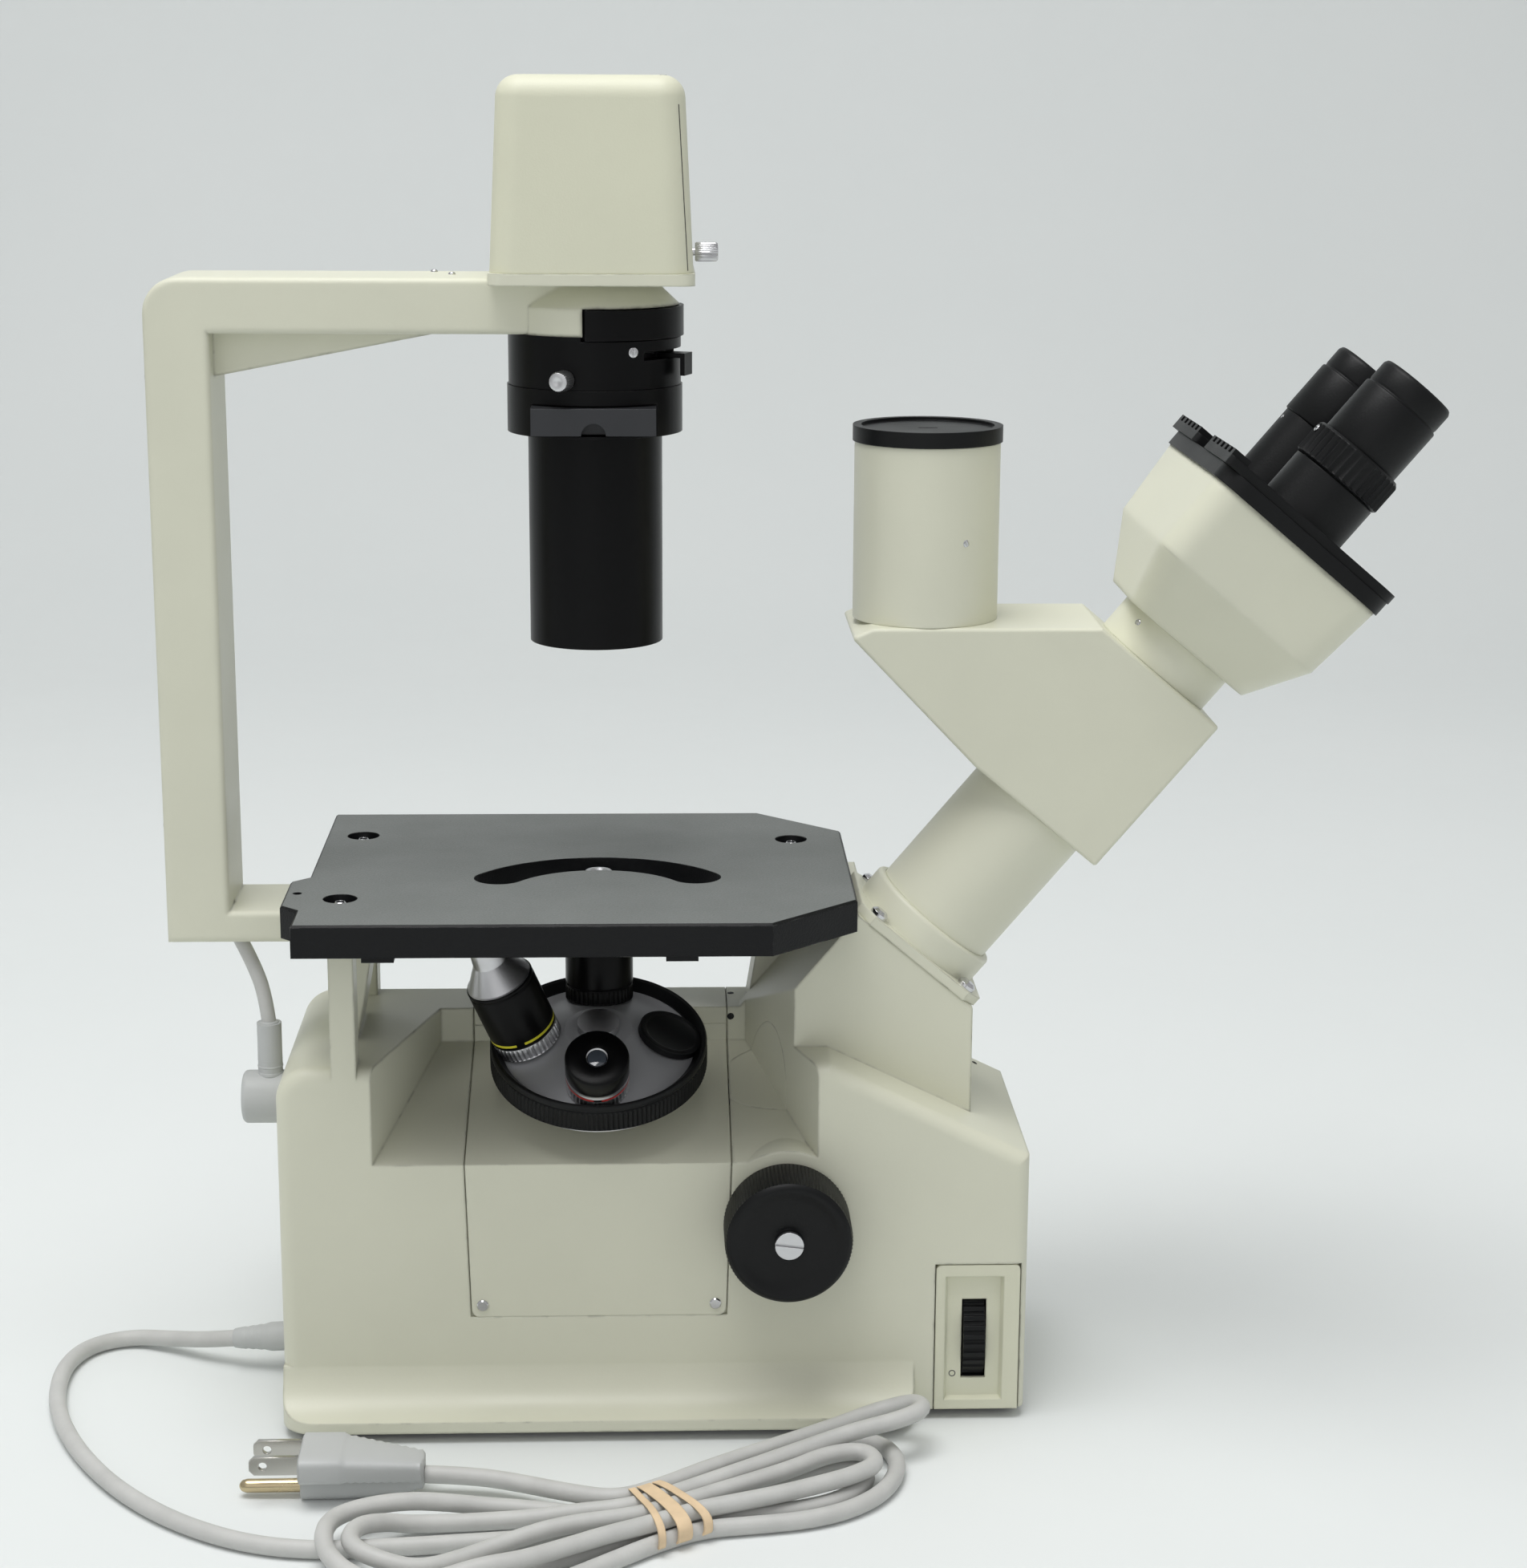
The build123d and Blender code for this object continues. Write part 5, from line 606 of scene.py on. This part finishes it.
def blade(name, y):
    """A flat blade with rounded tip corners and a hole."""
    half = BLADE_WIDTH / 2
    corner = BLADE_LENGTH - BLADE_CORNER
    outline = [(0, -half), (corner, -half), (BLADE_LENGTH, -half + BLADE_CORNER),
               (BLADE_LENGTH, half - BLADE_CORNER), (corner, half), (0, half)]
    turns = [k * pi / 8 for k in range(16)]
    hole = [(BLADE_HOLE + BLADE_HOLE_RADIUS * cos(t), BLADE_HOLE_RADIUS * sin(t)) for t in turns]
    curve = bpy.data.curves.new(name, "CURVE")
    curve.dimensions = "2D"
    curve.fill_mode = "BOTH"
    curve.extrude = BLADE_THICKNESS / 2 * MM
    curve.bevel_depth = BLADE_EASE * MM
    for points in (outline, hole):
        spline = curve.splines.new("POLY")
        spline.points.add(len(points) - 1)
        for (a, b), target in zip(points, spline.points):
            target.co = (a * MM, b * MM, 0, 1)
        spline.use_cyclic_u = True
    flat = bpy.data.objects.new(name + "_curve", curve)
    bpy.context.scene.collection.objects.link(flat)
    bpy.context.view_layer.update()
    mesh = bpy.data.meshes.new_from_object(flat)
    bpy.data.objects.remove(flat)
    turn = Matrix(((-1, 0, 0), (0, 0, 1), (0, 1, 0))).to_4x4()
    mesh.transform(Matrix.Translation(Vector((PLUG_FRONT + BLADE_ROOT, y, BLADE_HEIGHT)) * MM) @ turn)
    obj = bpy.data.objects.new(name, mesh)
    mesh.materials.clear()
    mesh.materials.append(plug_plate)
    bpy.context.scene.collection.objects.link(obj)
    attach(obj, "stand")
    return obj


near_blade = blade("plug_blade_near", PLUG_Y - BLADE_SPREAD / 2)
far_blade = blade("plug_blade_far", PLUG_Y + BLADE_SPREAD / 2)
EARTH_PIN = [(2.4, -1), (2.4, 18.5), (1.9, 20.2), (0.9, 21.0), (0.02, 21.2)]
EARTH_PIN_HEIGHT = 4.0
pin_place = axes(Vector((PLUG_FRONT, PLUG_Y, EARTH_PIN_HEIGHT)) * MM, (-1, 0, 0))
earth_pin = turned("plug_earth_pin", pin_place, EARTH_PIN, pin_brass, "stand", segments=32)
RELIEF = [(5.4, -8.0), (5.4, 0.0), (4.6, 3.0), (4.8, 4.0), (4.3, 6.0), (4.5, 7.0), (4.0, 9.0), (4.2, 10.0),
          (3.6, 14.0), (3.2, 14.2)]
RELIEF_WAY = (-0.985, 0.12, -0.09)
relief = turned("mains_relief", axes(Vector(MAINS_EXIT) * MM, RELIEF_WAY), RELIEF,
                surfaces["grey_plastic"], "stand", segments=48)

# Lamp lead from its plug up into the arm
LEAD_X = -188.5
LEAD_Y = -15
LEAD_PLUG_TOP = 121.5
lead_route = [
    (LEAD_X, LEAD_Y, 141), (-189.6, -15, 152), (-194, -13.2, 163.5), (-201, -9.5, 176),
    (-207.5, -5.6, 188.5), (-211.5, -3.2, 204),
]
lead = cord_curve("lamp_lead_cord", lead_route, LEAD_RADIUS, "stand", "cord_grey", ["lamp_lead"])
LEAD_RINGS = 7
LEAD_RELIEF = [(4.7, 0)]
for ring in range(LEAD_RINGS):
    LEAD_RELIEF += [(4.7 - 0.14 * ring, 1.2 + 2.5 * ring), (3.9 - 0.12 * ring, 1.7 + 2.5 * ring),
                    (3.9 - 0.12 * ring, 2.6 + 2.5 * ring), (4.6 - 0.14 * ring, 3.1 + 2.5 * ring)]
LEAD_RELIEF += [(3.4, 20), (2.7, 20.2)]
relief_place = axes(Vector((LEAD_X, LEAD_Y, LEAD_PLUG_TOP)) * MM, (0, 0, 1))
lead_relief = turned("lead_relief", relief_place, LEAD_RELIEF, surfaces["grey_plastic"], "stand",
                     segments=40, ease=0.15)

# Rubber band round the hank: its middle and half sizes across the hank and upward
BAND_MIDDLE_ACROSS = -2.25
BAND_HALF_ACROSS = 16.5
BAND_MIDDLE_HEIGHT = 6.35
BAND_HALF_HEIGHT = 6.0
BAND_THICKNESS = 0.8
BAND_ROUNDNESS = 0.75
BAND_STEPS = 64


def band_turn(name, offset, lean, wide):
    """One turn of the band's flat strip, shifted and leaning along the hank."""
    vertices = []
    for number in range(BAND_STEPS):
        turn = 2 * pi * number / BAND_STEPS
        u = signed_power(cos(turn), BAND_ROUNDNESS)
        v = signed_power(sin(turn), BAND_ROUNDNESS)
        shift = offset + lean * cos(turn)
        for grow, edge in ((0.0, -1), (BAND_THICKNESS, -1), (BAND_THICKNESS, 1), (0.0, 1)):
            across = BAND_MIDDLE_ACROSS + (BAND_HALF_ACROSS + grow) * u
            height = BAND_MIDDLE_HEIGHT + (BAND_HALF_HEIGHT + grow / 3) * v
            place = BAND + BAND_ACROSS * across + BAND_ALONG * (shift + edge * wide / 2)
            vertices.append(Vector((place.x, place.y, height)) * MM)
    faces = []
    for number in range(BAND_STEPS):
        after = (number + 1) % BAND_STEPS
        for side in range(4):
            other = (side + 1) % 4
            faces.append((number * 4 + side, number * 4 + other, after * 4 + other, after * 4 + side))
    return piece_of(name, vertices, faces, band_rubber, "stand")


band_turn("band_left", -6.0, 3.6, 2.6)
band_turn("band_middle", 0.2, 0.8, 5.4)
band_turn("band_right", 6.6, -1.8, 3.2)

# Focus knobs
for side, name in ((-1, "near"), (1, "far")):
    place = axes(point(FOCUS_X, 0, FOCUS_HEIGHT), (0, side, 0))
    knob = [(4.4, 51.0), (20.5, 51.0), (22.0, 51.8, 0, 0), (22.5, 53.0, 0, 1), (22.5, 70.2, 0, 1),
            (22.0, 71.6, 0, 0), (21.0, 72.7), (20.2, 73.0), (18.9, 72.8), (17.4, 72.1), (15.5, 71.5),
            (12.0, 71.1), (5.0, 71.0), (5.0, 72.9), (4.4, 72.9)]
    turned("focus_knob_" + name, place, knob, surfaces["black_plastic"], "focus_drive",
           ["focus_knobs"], flutes=100, depth=0.8, closed=True, duty=0.8)

# Turret rim, objectives and the port's cap
TURRET_AXIS = Vector((0, -sin(TURRET_TILT), cos(TURRET_TILT)))
TURRET_OUT = Vector((0, cos(TURRET_TILT), sin(TURRET_TILT)))
turret_origin = point(0, TURRET_Y, TURRET_HEIGHT)
RIM = [(34.6, -11.0), (38.0, -11.0), (38.8, -10.5, 0, 0), (39.0, -10.2, 0, 1), (39.0, -3.4, 0, 1),
       (38.5, -3.1, 0, 0), (38.1, -2.8), (38.1, -2.4), (38.8, -2.1), (38.9, -0.8), (38.4, 0.0),
       (37.2, -0.1), (34.6, -2.9)]
turned("turret_grip", axes(turret_origin, TURRET_AXIS, (1, 0, 0)), RIM, surfaces["black_plastic"], "turret",
       ["turret_rim"], flutes=140, depth=0.7, closed=True, duty=0.7)


def seat(degrees):
    """Origin and direction of an objective: 0 is in use, 90 right, 180 at the front, 270 left."""
    turn = radians(degrees)
    outward = Vector((1, 0, 0)) * sin(turn) + TURRET_OUT * cos(turn)
    way = TURRET_AXIS * cos(TURRET_TILT) + outward * sin(TURRET_TILT)
    return axes(turret_origin + outward * TURRET_PITCH * MM, way)


LONG = [(9.9, -5.0, 0), (9.9, 0.0, 0), (12.3, 0.0, 2), (12.3, 0.6, 2, 1), (12.3, 4.6, 2, 1),
        (11.9, 5.0, 2), (11.9, 5.4, 0), (12.3, 5.7, 0), (12.3, 6.6, 0), (12.3, 7.6, 1),
        (12.3, 26.8, 0), (12.1, 27.0, 0), (12.1, 27.5, 0),
        (12.3, 27.8, 0), (12.3, 28.6, 0), (11.9, 29.0, 0), (11.3, 29.4, 3), (6.4, 37.3, 3), (6.25, 37.5, 3),
        (5.9, 40.0, 3), (4.9, 47.4, 3), (4.4, 47.8, 3), (3.2, 47.8, 3), (3.0, 47.2, 3)]
SHORT = [(9.9, -5.0, 0), (9.9, 0.0, 0), (11.25, 0.0, 2), (11.25, 0.5, 2, 1), (11.25, 4.4, 2, 1),
         (10.9, 4.8, 2), (10.9, 5.2, 0), (11.2, 5.4, 0), (11.2, 6.4, 1), (11.2, 6.6, 0),
         (11.0, 7.6, 3), (11.0, 8.6, 3),
         (11.25, 8.9, 0), (11.25, 16.4, 0), (10.7, 17.0, 0), (3.9, 17.0, 0), (3.5, 16.6, 3), (3.2, 16.2, 0)]
black = surfaces["black_anodised"]
silver = surfaces["satin_aluminium"]
# Name, seat in degrees, outline, materials, and the radius and height of the front lens
objectives = (
    ("objective_20x", 0, LONG, [black, black, black, silver], 3.0, 47.4),
    ("objective_10x", 270, LONG, [black, yellow_band, silver, silver], 3.0, 47.4),
    ("objective_4x", 180, SHORT, [black, red_band, silver, silver], 3.3, 16.8),
)
for node, degrees, outline, materials, lens_radius, lens_height in objectives:
    turned(node + "_barrel", seat(degrees), outline, materials, "turret", [node],
           flutes=44, depth=0.45, duty=0.6, ease=0.12, gap=(262, 278))
    lens = [(lens_radius, lens_height - 1.2), (lens_radius, lens_height - 0.3),
            (lens_radius * 0.6, lens_height), (0.02, lens_height + 0.1)]
    turned(node + "_lens", seat(degrees), lens, front_glass, "turret", segments=40, ease=0)
PORT_COVER = [(9.9, -5.0), (9.9, 0.0), (11.6, 0.0), (11.6, 3.0), (9.6, 3.0), (9.2, 2.5), (0.02, 2.5)]
turned("port_cover", seat(90), PORT_COVER, surfaces["black_plastic"], "turret",
       ["port_cap"], segments=72)

# Eyepieces, the diopter ring and its screw. Each row: side, place in y, foot, shift, body, CAD node
for name, y, foot, shift, body, node in (
    ("left", -EYEPIECE_Y, 408.0, 0.0, "left_ocular", "left_eyepiece"),
    ("right", EYEPIECE_Y, 411.0, -1.5, "right_slide", "right_eyepiece"),
):
    place = neck_axes(0, EYEPIECE_N, y)
    barrel = [(11.0, 398.0), (11.0, foot - 0.4), (14.2, foot), (15.0, foot + 0.4), (15.0, 432.6 + shift),
              (14.7, 433.0 + shift), (14.2, 433.1 + shift), (14.2, 433.7 + shift), (14.4, 434.0 + shift),
              (14.4, 440.6 + shift), (13.6, 442.0 + shift), (11.6, 442.0 + shift), (10.9, 440.6 + shift),
              (10.6, 439.4 + shift)]
    turned(name + "_eyepiece_barrel", place, barrel, surfaces["black_plastic"], body,
           [node])
    lens = [(10.7, 438.0 + shift), (10.6, 439.6 + shift), (7.5, 440.3 + shift), (4.0, 440.7 + shift),
            (0.02, 440.8 + shift)]
    turned(name + "_eye_lens", place, lens, eye_glass, body, segments=64, ease=0)
DIOPTER = [(14.5, 399.6), (16.6, 399.6), (17.3, 400.2, 0, 0), (17.6, 400.6, 0, 1), (17.6, 410.4, 0, 1),
           (17.2, 411.2, 0, 0), (16.4, 412.1), (15.3, 412.1), (15.3, 407.6), (14.5, 407.6)]
turned("diopter_grip", neck_axes(0, EYEPIECE_N, -EYEPIECE_Y), DIOPTER, surfaces["black_plastic"], "diopter",
       ["diopter_ring"], flutes=36, depth=1.0, closed=True, duty=0.5)
DIOPTER_SCREW_ALONG = 409.0
DIOPTER_SCREW_OUT = 17.2
screw_foot = neck_point(DIOPTER_SCREW_ALONG, EYEPIECE_N, -EYEPIECE_Y)
head("diopter_screw", screw_foot - NECK_ACROSS * DIOPTER_SCREW_OUT * MM, -NECK_ACROSS, 1.5, 0.5, "diopter",
     "slot")

# Knurled clamp and thumb screws
THUMB_SCREW_X = 34.9
THUMB_SCREW_HEIGHT = 414.0
CLAMP_TURN = radians(-108.0)
CLAMP_OUT = 30.5
CLAMP_HEIGHT = 372.6
KNURL = [(1.4, -4.0), (1.4, 0.0), (3.0, 0.0), (3.3, 0.4, 0, 1), (3.3, 7.2, 0, 1), (2.9, 7.8, 0, 0),
         (2.2, 8.0), (0.02, 8.1)]
turned("lamp_thumb_screw", axes(point(THUMB_SCREW_X, 0, THUMB_SCREW_HEIGHT), (1, 0, 0)), KNURL,
       surfaces["chrome"], "lamp_clamp", ["thumb_screw"], flutes=28, depth=0.3, ease=0)
clamp_way = Vector((cos(CLAMP_TURN), sin(CLAMP_TURN), 0))
CLAMP = [(1.4, -3.0), (1.4, 0.0), (3.2, 0.0), (3.5, 0.5, 0, 1), (3.5, 7.0, 0, 1), (3.1, 7.7, 0, 0),
         (2.4, 8.0), (1.2, 8.0), (0.8, 7.7), (0.02, 7.7)]
turned("drum_clamp_knob", axes(point(0, 0, CLAMP_HEIGHT) + clamp_way * CLAMP_OUT * MM, clamp_way), CLAMP,
       surfaces["satin_aluminium"], "condenser_clamp", ["clamp_knob"], flutes=30,
       depth=0.35, ease=0)

# The casting's deck and right wall, closed where the light path's bore meets them
BORE_RADIUS = 20.6
COVER_EDGE = 47.3
DECK_FAR_HEIGHT = 121.5
DECK_SLOPE = radians(17.6)
RECESS_BACK = 20.8
WALL_NEAR = point(77.7, -50.0, 0)
WALL_FAR = point(54.1, RECESS_BACK, 0)
PATCH_LIFT = 0.03
PATCH_THICKNESS = 0.8
PATCH_STEPS = 72


def bore_patch(name, spot, normal, limit):
    """The bore's outline on a plane, kept on the far side of a limit in x."""
    normal = Vector(normal).normalized()
    outline = []
    for number in range(PATCH_STEPS):
        turn = 2 * pi * number / PATCH_STEPS
        around = NECK_ACROSS * cos(turn) + Vector((0, 1, 0)) * sin(turn)
        rim = point(0, 0, MIRROR_HEIGHT) + around * BORE_RADIUS * MM
        reach = (spot - rim).dot(normal) / NECK_WAY.dot(normal)
        outline.append(rim + NECK_WAY * reach + normal * PATCH_LIFT * MM)
    kept = []
    edge = point(limit, 0, 0).x
    for here, after in zip(outline, outline[1:] + outline[:1]):
        if here.x >= edge:
            kept.append(here)
        if (here.x >= edge) != (after.x >= edge):
            kept.append(here.lerp(after, (edge - here.x) / (after.x - here.x)))
    count = len(kept)
    under = [place - normal * PATCH_THICKNESS * MM for place in kept]
    faces = [tuple(range(count)), tuple(reversed(range(count, 2 * count)))]
    faces += [(k, count + k, count + (k + 1) % count, (k + 1) % count) for k in range(count)]
    return piece_of(name, kept + under, faces, own_finish["base_casting"], "stand")


wall_way = WALL_FAR - WALL_NEAR
bore_patch("recess_wall_skin", WALL_NEAR, (-wall_way.y, wall_way.x, 0), COVER_EDGE)
deck_normal = (0, -sin(DECK_SLOPE), cos(DECK_SLOPE))
bore_patch("recess_deck_skin", point(0, RECESS_BACK, DECK_FAR_HEIGHT), deck_normal, COVER_EDGE)

# Small screws seen on the housings
COVER_SCREW_X = 41.5
COVER_SCREW_HEIGHT = 46.0
COVER_SCREW_TALL = 0.9
DRUM_SCREW_TURN = radians(-63)
DRUM_SCREW_OUT = 30.0
DRUM_SCREW_HEIGHT = 381.7
ARM_TOP = 406.0
low_corner, high_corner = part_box("small_screws")
corners = [(x, side) for side in (-1, 1) for x in (-COVER_SCREW_X, COVER_SCREW_X)]
for number, (x, side) in enumerate(corners):
    place = point(x, 0, COVER_SCREW_HEIGHT)
    place.y = (low_corner.y if side < 0 else high_corner.y) - side * COVER_SCREW_TALL * MM
    head("cover_screw_%d" % (number + 1), place, (0, side, 0), 2.1, 0.85, "stand", turn=0.4 + number)

drum_way = (cos(DRUM_SCREW_TURN), sin(DRUM_SCREW_TURN), 0)
drum_spot = point(DRUM_SCREW_OUT * drum_way[0], DRUM_SCREW_OUT * drum_way[1], DRUM_SCREW_HEIGHT)
head("drum_screw", drum_spot, drum_way, 1.8, 0.35, "stand", "slot")
for name, x, y in (("arm_screw_near", -49.0, 0.4), ("arm_screw_far", -56.0, 14.0)):
    head(name, point(x, y, ARM_TOP), (0, 0, 1), 1.3, 0.9, "stand", "cross")


def hit_on(node, place, way):
    """Where a line meets a CAD node, and the surface's normal there."""
    mesh = frame["nodes"][node].data
    tree = BVHTree.FromPolygons([v.co for v in mesh.vertices], [tuple(p.vertices) for p in mesh.polygons])
    spot, normal, _, _ = tree.ray_cast(Vector(place), Vector(way).normalized())
    if spot is None:
        raise ValueError("nothing of " + node + " there")
    return spot, normal


def seen_on(node, pixel):
    """The same for the camera's line through a pixel of the photograph, (column, row)."""
    column, row = pixel
    right, up, back = camera_axes()
    way = right * (column - IMAGE_WIDTH / 2) - up * (row - IMAGE_HEIGHT / 2) - back * FOCAL_PIXELS
    return hit_on(node, CAMERA_PLACE, way)


# Pixels of the photograph, (column, row), in which the smallest screws and a mark are seen
PHOTOTUBE_SCREW_PIXEL = (1205, 678)
HEAD_RING_SCREW_PIXEL = (1419, 776)
UPPER_RECESS_SCREW_PIXEL = (911, 1238)
LOWER_RECESS_SCREW_PIXEL = (911, 1267)
NECK_FOOT_SCREW_PIXEL = (1215, 1325)
RIGHT_EYEPIECE_SCREW_PIXEL = (1599, 519)
PANEL_MARK_PIXEL = (1187, 1712)
# Name, node that carries it, pixel, radius, surface, body
seen_screws = (
    ("phototube_screw", "phototube", PHOTOTUBE_SCREW_PIXEL, 1.3, "chrome", "stand"),
    ("head_ring_screw", "head_ring", HEAD_RING_SCREW_PIXEL, 1.2, "chrome", "stand"),
    ("recess_screw_upper", "base_casting", UPPER_RECESS_SCREW_PIXEL, 1.3, "black_paint", "stand"),
    ("recess_screw_lower", "base_casting", LOWER_RECESS_SCREW_PIXEL, 1.3, "black_paint", "stand"),
    ("neck_foot_screw", "base_casting", NECK_FOOT_SCREW_PIXEL, 1.1, "black_paint", "stand"),
    ("right_eyepiece_screw", "right_eyepiece_slide", RIGHT_EYEPIECE_SCREW_PIXEL, 0.8, "chrome",
     "right_slide"),
)
for name, node, pixel, radius, surface, body in seen_screws:
    spot, normal = seen_on(node, pixel)
    head(name, spot, normal, radius, 0.25, body, "slot", surface, turn=0.5)

# Places outside the instrument from which a line is sent to find a surface
BEHIND_X = -200
FRONT_Y = -120
ABOVE_HEIGHT = 500.0
REAR_SCREW_Y = -13
for name, z in (("rear_cover_screw_upper", 372.0), ("rear_cover_screw_lower", 214.0)):
    spot, normal = hit_on("arm_rear_cover", point(BEHIND_X, REAR_SCREW_Y, z), (1, 0, 0))
    head(name, spot, normal, 1.8, 0.8, "stand")

spot, normal = seen_on("control_panel", PANEL_MARK_PIXEL)
MARK_RING = [(0.9, -0.1), (1.25, -0.1), (1.25, 0.06), (0.9, 0.06)]
turned("panel_mark", axes(spot, normal), MARK_RING, mark_grey, "stand", segments=32,
       closed=True)

STRIP_LIFT = 0.04
STRIP_SINK = 0.3


def strip(name, spots, width, material, body):
    """A thin line laid on a surface through pairs of a place and its normal."""
    vertices = []
    for number, (spot, normal) in enumerate(spots):
        before = spots[max(number - 1, 0)][0]
        after = spots[min(number + 1, len(spots) - 1)][0]
        across = (after - before).cross(normal).normalized() * width / 2 * MM
        for lift, sign in ((STRIP_LIFT, -1), (STRIP_LIFT, 1), (-STRIP_SINK, 1), (-STRIP_SINK, -1)):
            vertices.append(spot + across * sign + normal * lift * MM)
    faces = []
    for row in range(len(spots) - 1):
        for side in range(4):
            other = (side + 1) % 4
            faces.append((row * 4 + side, row * 4 + other, row * 4 + 4 + other, row * 4 + 4 + side))
    last = len(vertices)
    faces += [(3, 2, 1, 0), (last - 4, last - 3, last - 2, last - 1)]
    return piece_of(name, vertices, faces, material, body)


# Seam of the lamp cover's side plate, from its foot to the rounded top
SEAM_FOOT = 409.5
SEAM_TOP = 464.0
SEAM_FOOT_X = 32.0
SEAM_LEAN = 3.0
SEAM_WIDTH = 0.45
SEAM_STEPS = 10
seam = []
for number in range(SEAM_STEPS + 1):
    share = number / SEAM_STEPS
    start = point(SEAM_FOOT_X - SEAM_LEAN * share, FRONT_Y, SEAM_FOOT + (SEAM_TOP - SEAM_FOOT) * share)
    seam.append(hit_on("lamp_cover", start, (0, 1, 0)))
strip("lamp_cover_seam", seam, SEAM_WIDTH, seam_dark, "stand")
LAMP_MARK_X = 24.0
LAMP_MARK_Y = -10.0
LAMP_MARK = [(1.2, -0.5), (1.2, 0.05), (0.02, 0.06)]
spot, normal = hit_on("lamp_cover", point(LAMP_MARK_X, LAMP_MARK_Y, ABOVE_HEIGHT), (0, 0, -1))
turned("lamp_cover_mark", axes(spot, normal), LAMP_MARK, mark_grey, "stand", segments=24,
       ease=0)

# Floor, backdrop and light
FLOOR_FRONT = -3.0
FLOOR_DEPTH = 1.3
SWEEP = 0.9
SWEEP_STEPS = 12
BACK_HEIGHT = 3.0
HALF_SPAN = 4.0
FLOOR_GLOW = 0.03
WORLD_COLOUR = (0.985, 0.995, 1.0, 1.0)
WORLD_STRENGTH = 0.46


def floor_outline():
    """Side view of the floor and its swept backdrop, as (y, z)."""
    points = [(FLOOR_FRONT, 0.0), (FLOOR_DEPTH, 0.0)]
    for number in range(1, SWEEP_STEPS + 1):
        turn = number / SWEEP_STEPS * pi / 2
        points.append((FLOOR_DEPTH + SWEEP * sin(turn), SWEEP * (1 - cos(turn))))
    return points + [(FLOOR_DEPTH + SWEEP, BACK_HEIGHT)]


outline = floor_outline()
floor_mesh = bpy.data.meshes.new("floor")
floor_mesh.from_pydata([(x, y, z) for y, z in outline for x in (-HALF_SPAN, HALF_SPAN)], [],
                       [(2 * k, 2 * k + 1, 2 * k + 3, 2 * k + 2) for k in range(len(outline) - 1)])
floor_mesh.shade_smooth()
floor = bpy.data.objects.new("floor", floor_mesh)


def floor_surface():
    """Pale floor that shows a little whiter to the camera, to metal and to glass, and keeps its shadows."""
    n = Nodes("floor")
    n.link(n.mix(n.noise(3.0), rgb(220, 224, 223), rgb(226, 229, 228)), n.shader.inputs["Base Color"])
    n.link(n.spread(n.noise(40.0), NOISE_LOW, NOISE_HIGH, 0.7, 0.85), n.shader.inputs["Roughness"])
    seen = n.add("ShaderNodeLightPath")
    rays = n.maths("MAXIMUM", seen.outputs["Is Camera Ray"], seen.outputs["Is Glossy Ray"])
    rays = n.maths("MAXIMUM", rays, seen.outputs["Is Transmission Ray"])
    n.shader.inputs["Emission Color"].default_value = (1.0, 1.0, 1.0, 1.0)
    n.link(n.maths("MULTIPLY", rays, FLOOR_GLOW), n.shader.inputs["Emission Strength"])
    return n.material


floor_mesh.materials.append(floor_surface())
bpy.context.scene.collection.objects.link(floor)

world = bpy.data.worlds.new("studio")
bpy.context.scene.world = world
world.use_nodes = True
background = world.node_tree.nodes["Background"]
background.inputs["Color"].default_value = WORLD_COLOUR
background.inputs["Strength"].default_value = WORLD_STRENGTH


def soft_light(name, place, target, size, power):
    """A square area lamp that faces its target."""
    lamp = bpy.data.lights.new(name, "AREA")
    lamp.size = size
    lamp.energy = power
    obj = bpy.data.objects.new(name, lamp)
    bpy.context.scene.collection.objects.link(obj)
    obj.location = place
    obj.rotation_euler = (Vector(target) - Vector(place)).to_track_quat("-Z", "Y").to_euler()


soft_light("key", (-0.35, -0.35, 2.3), (-0.02, -0.02, 0.2), 1.5, 39.0)
soft_light("fill", (-0.6, -1.9, 1.0), (-0.02, -0.05, 0.2), 1.6, 3.0)
bpy.context.scene.view_settings.view_transform = "Standard"
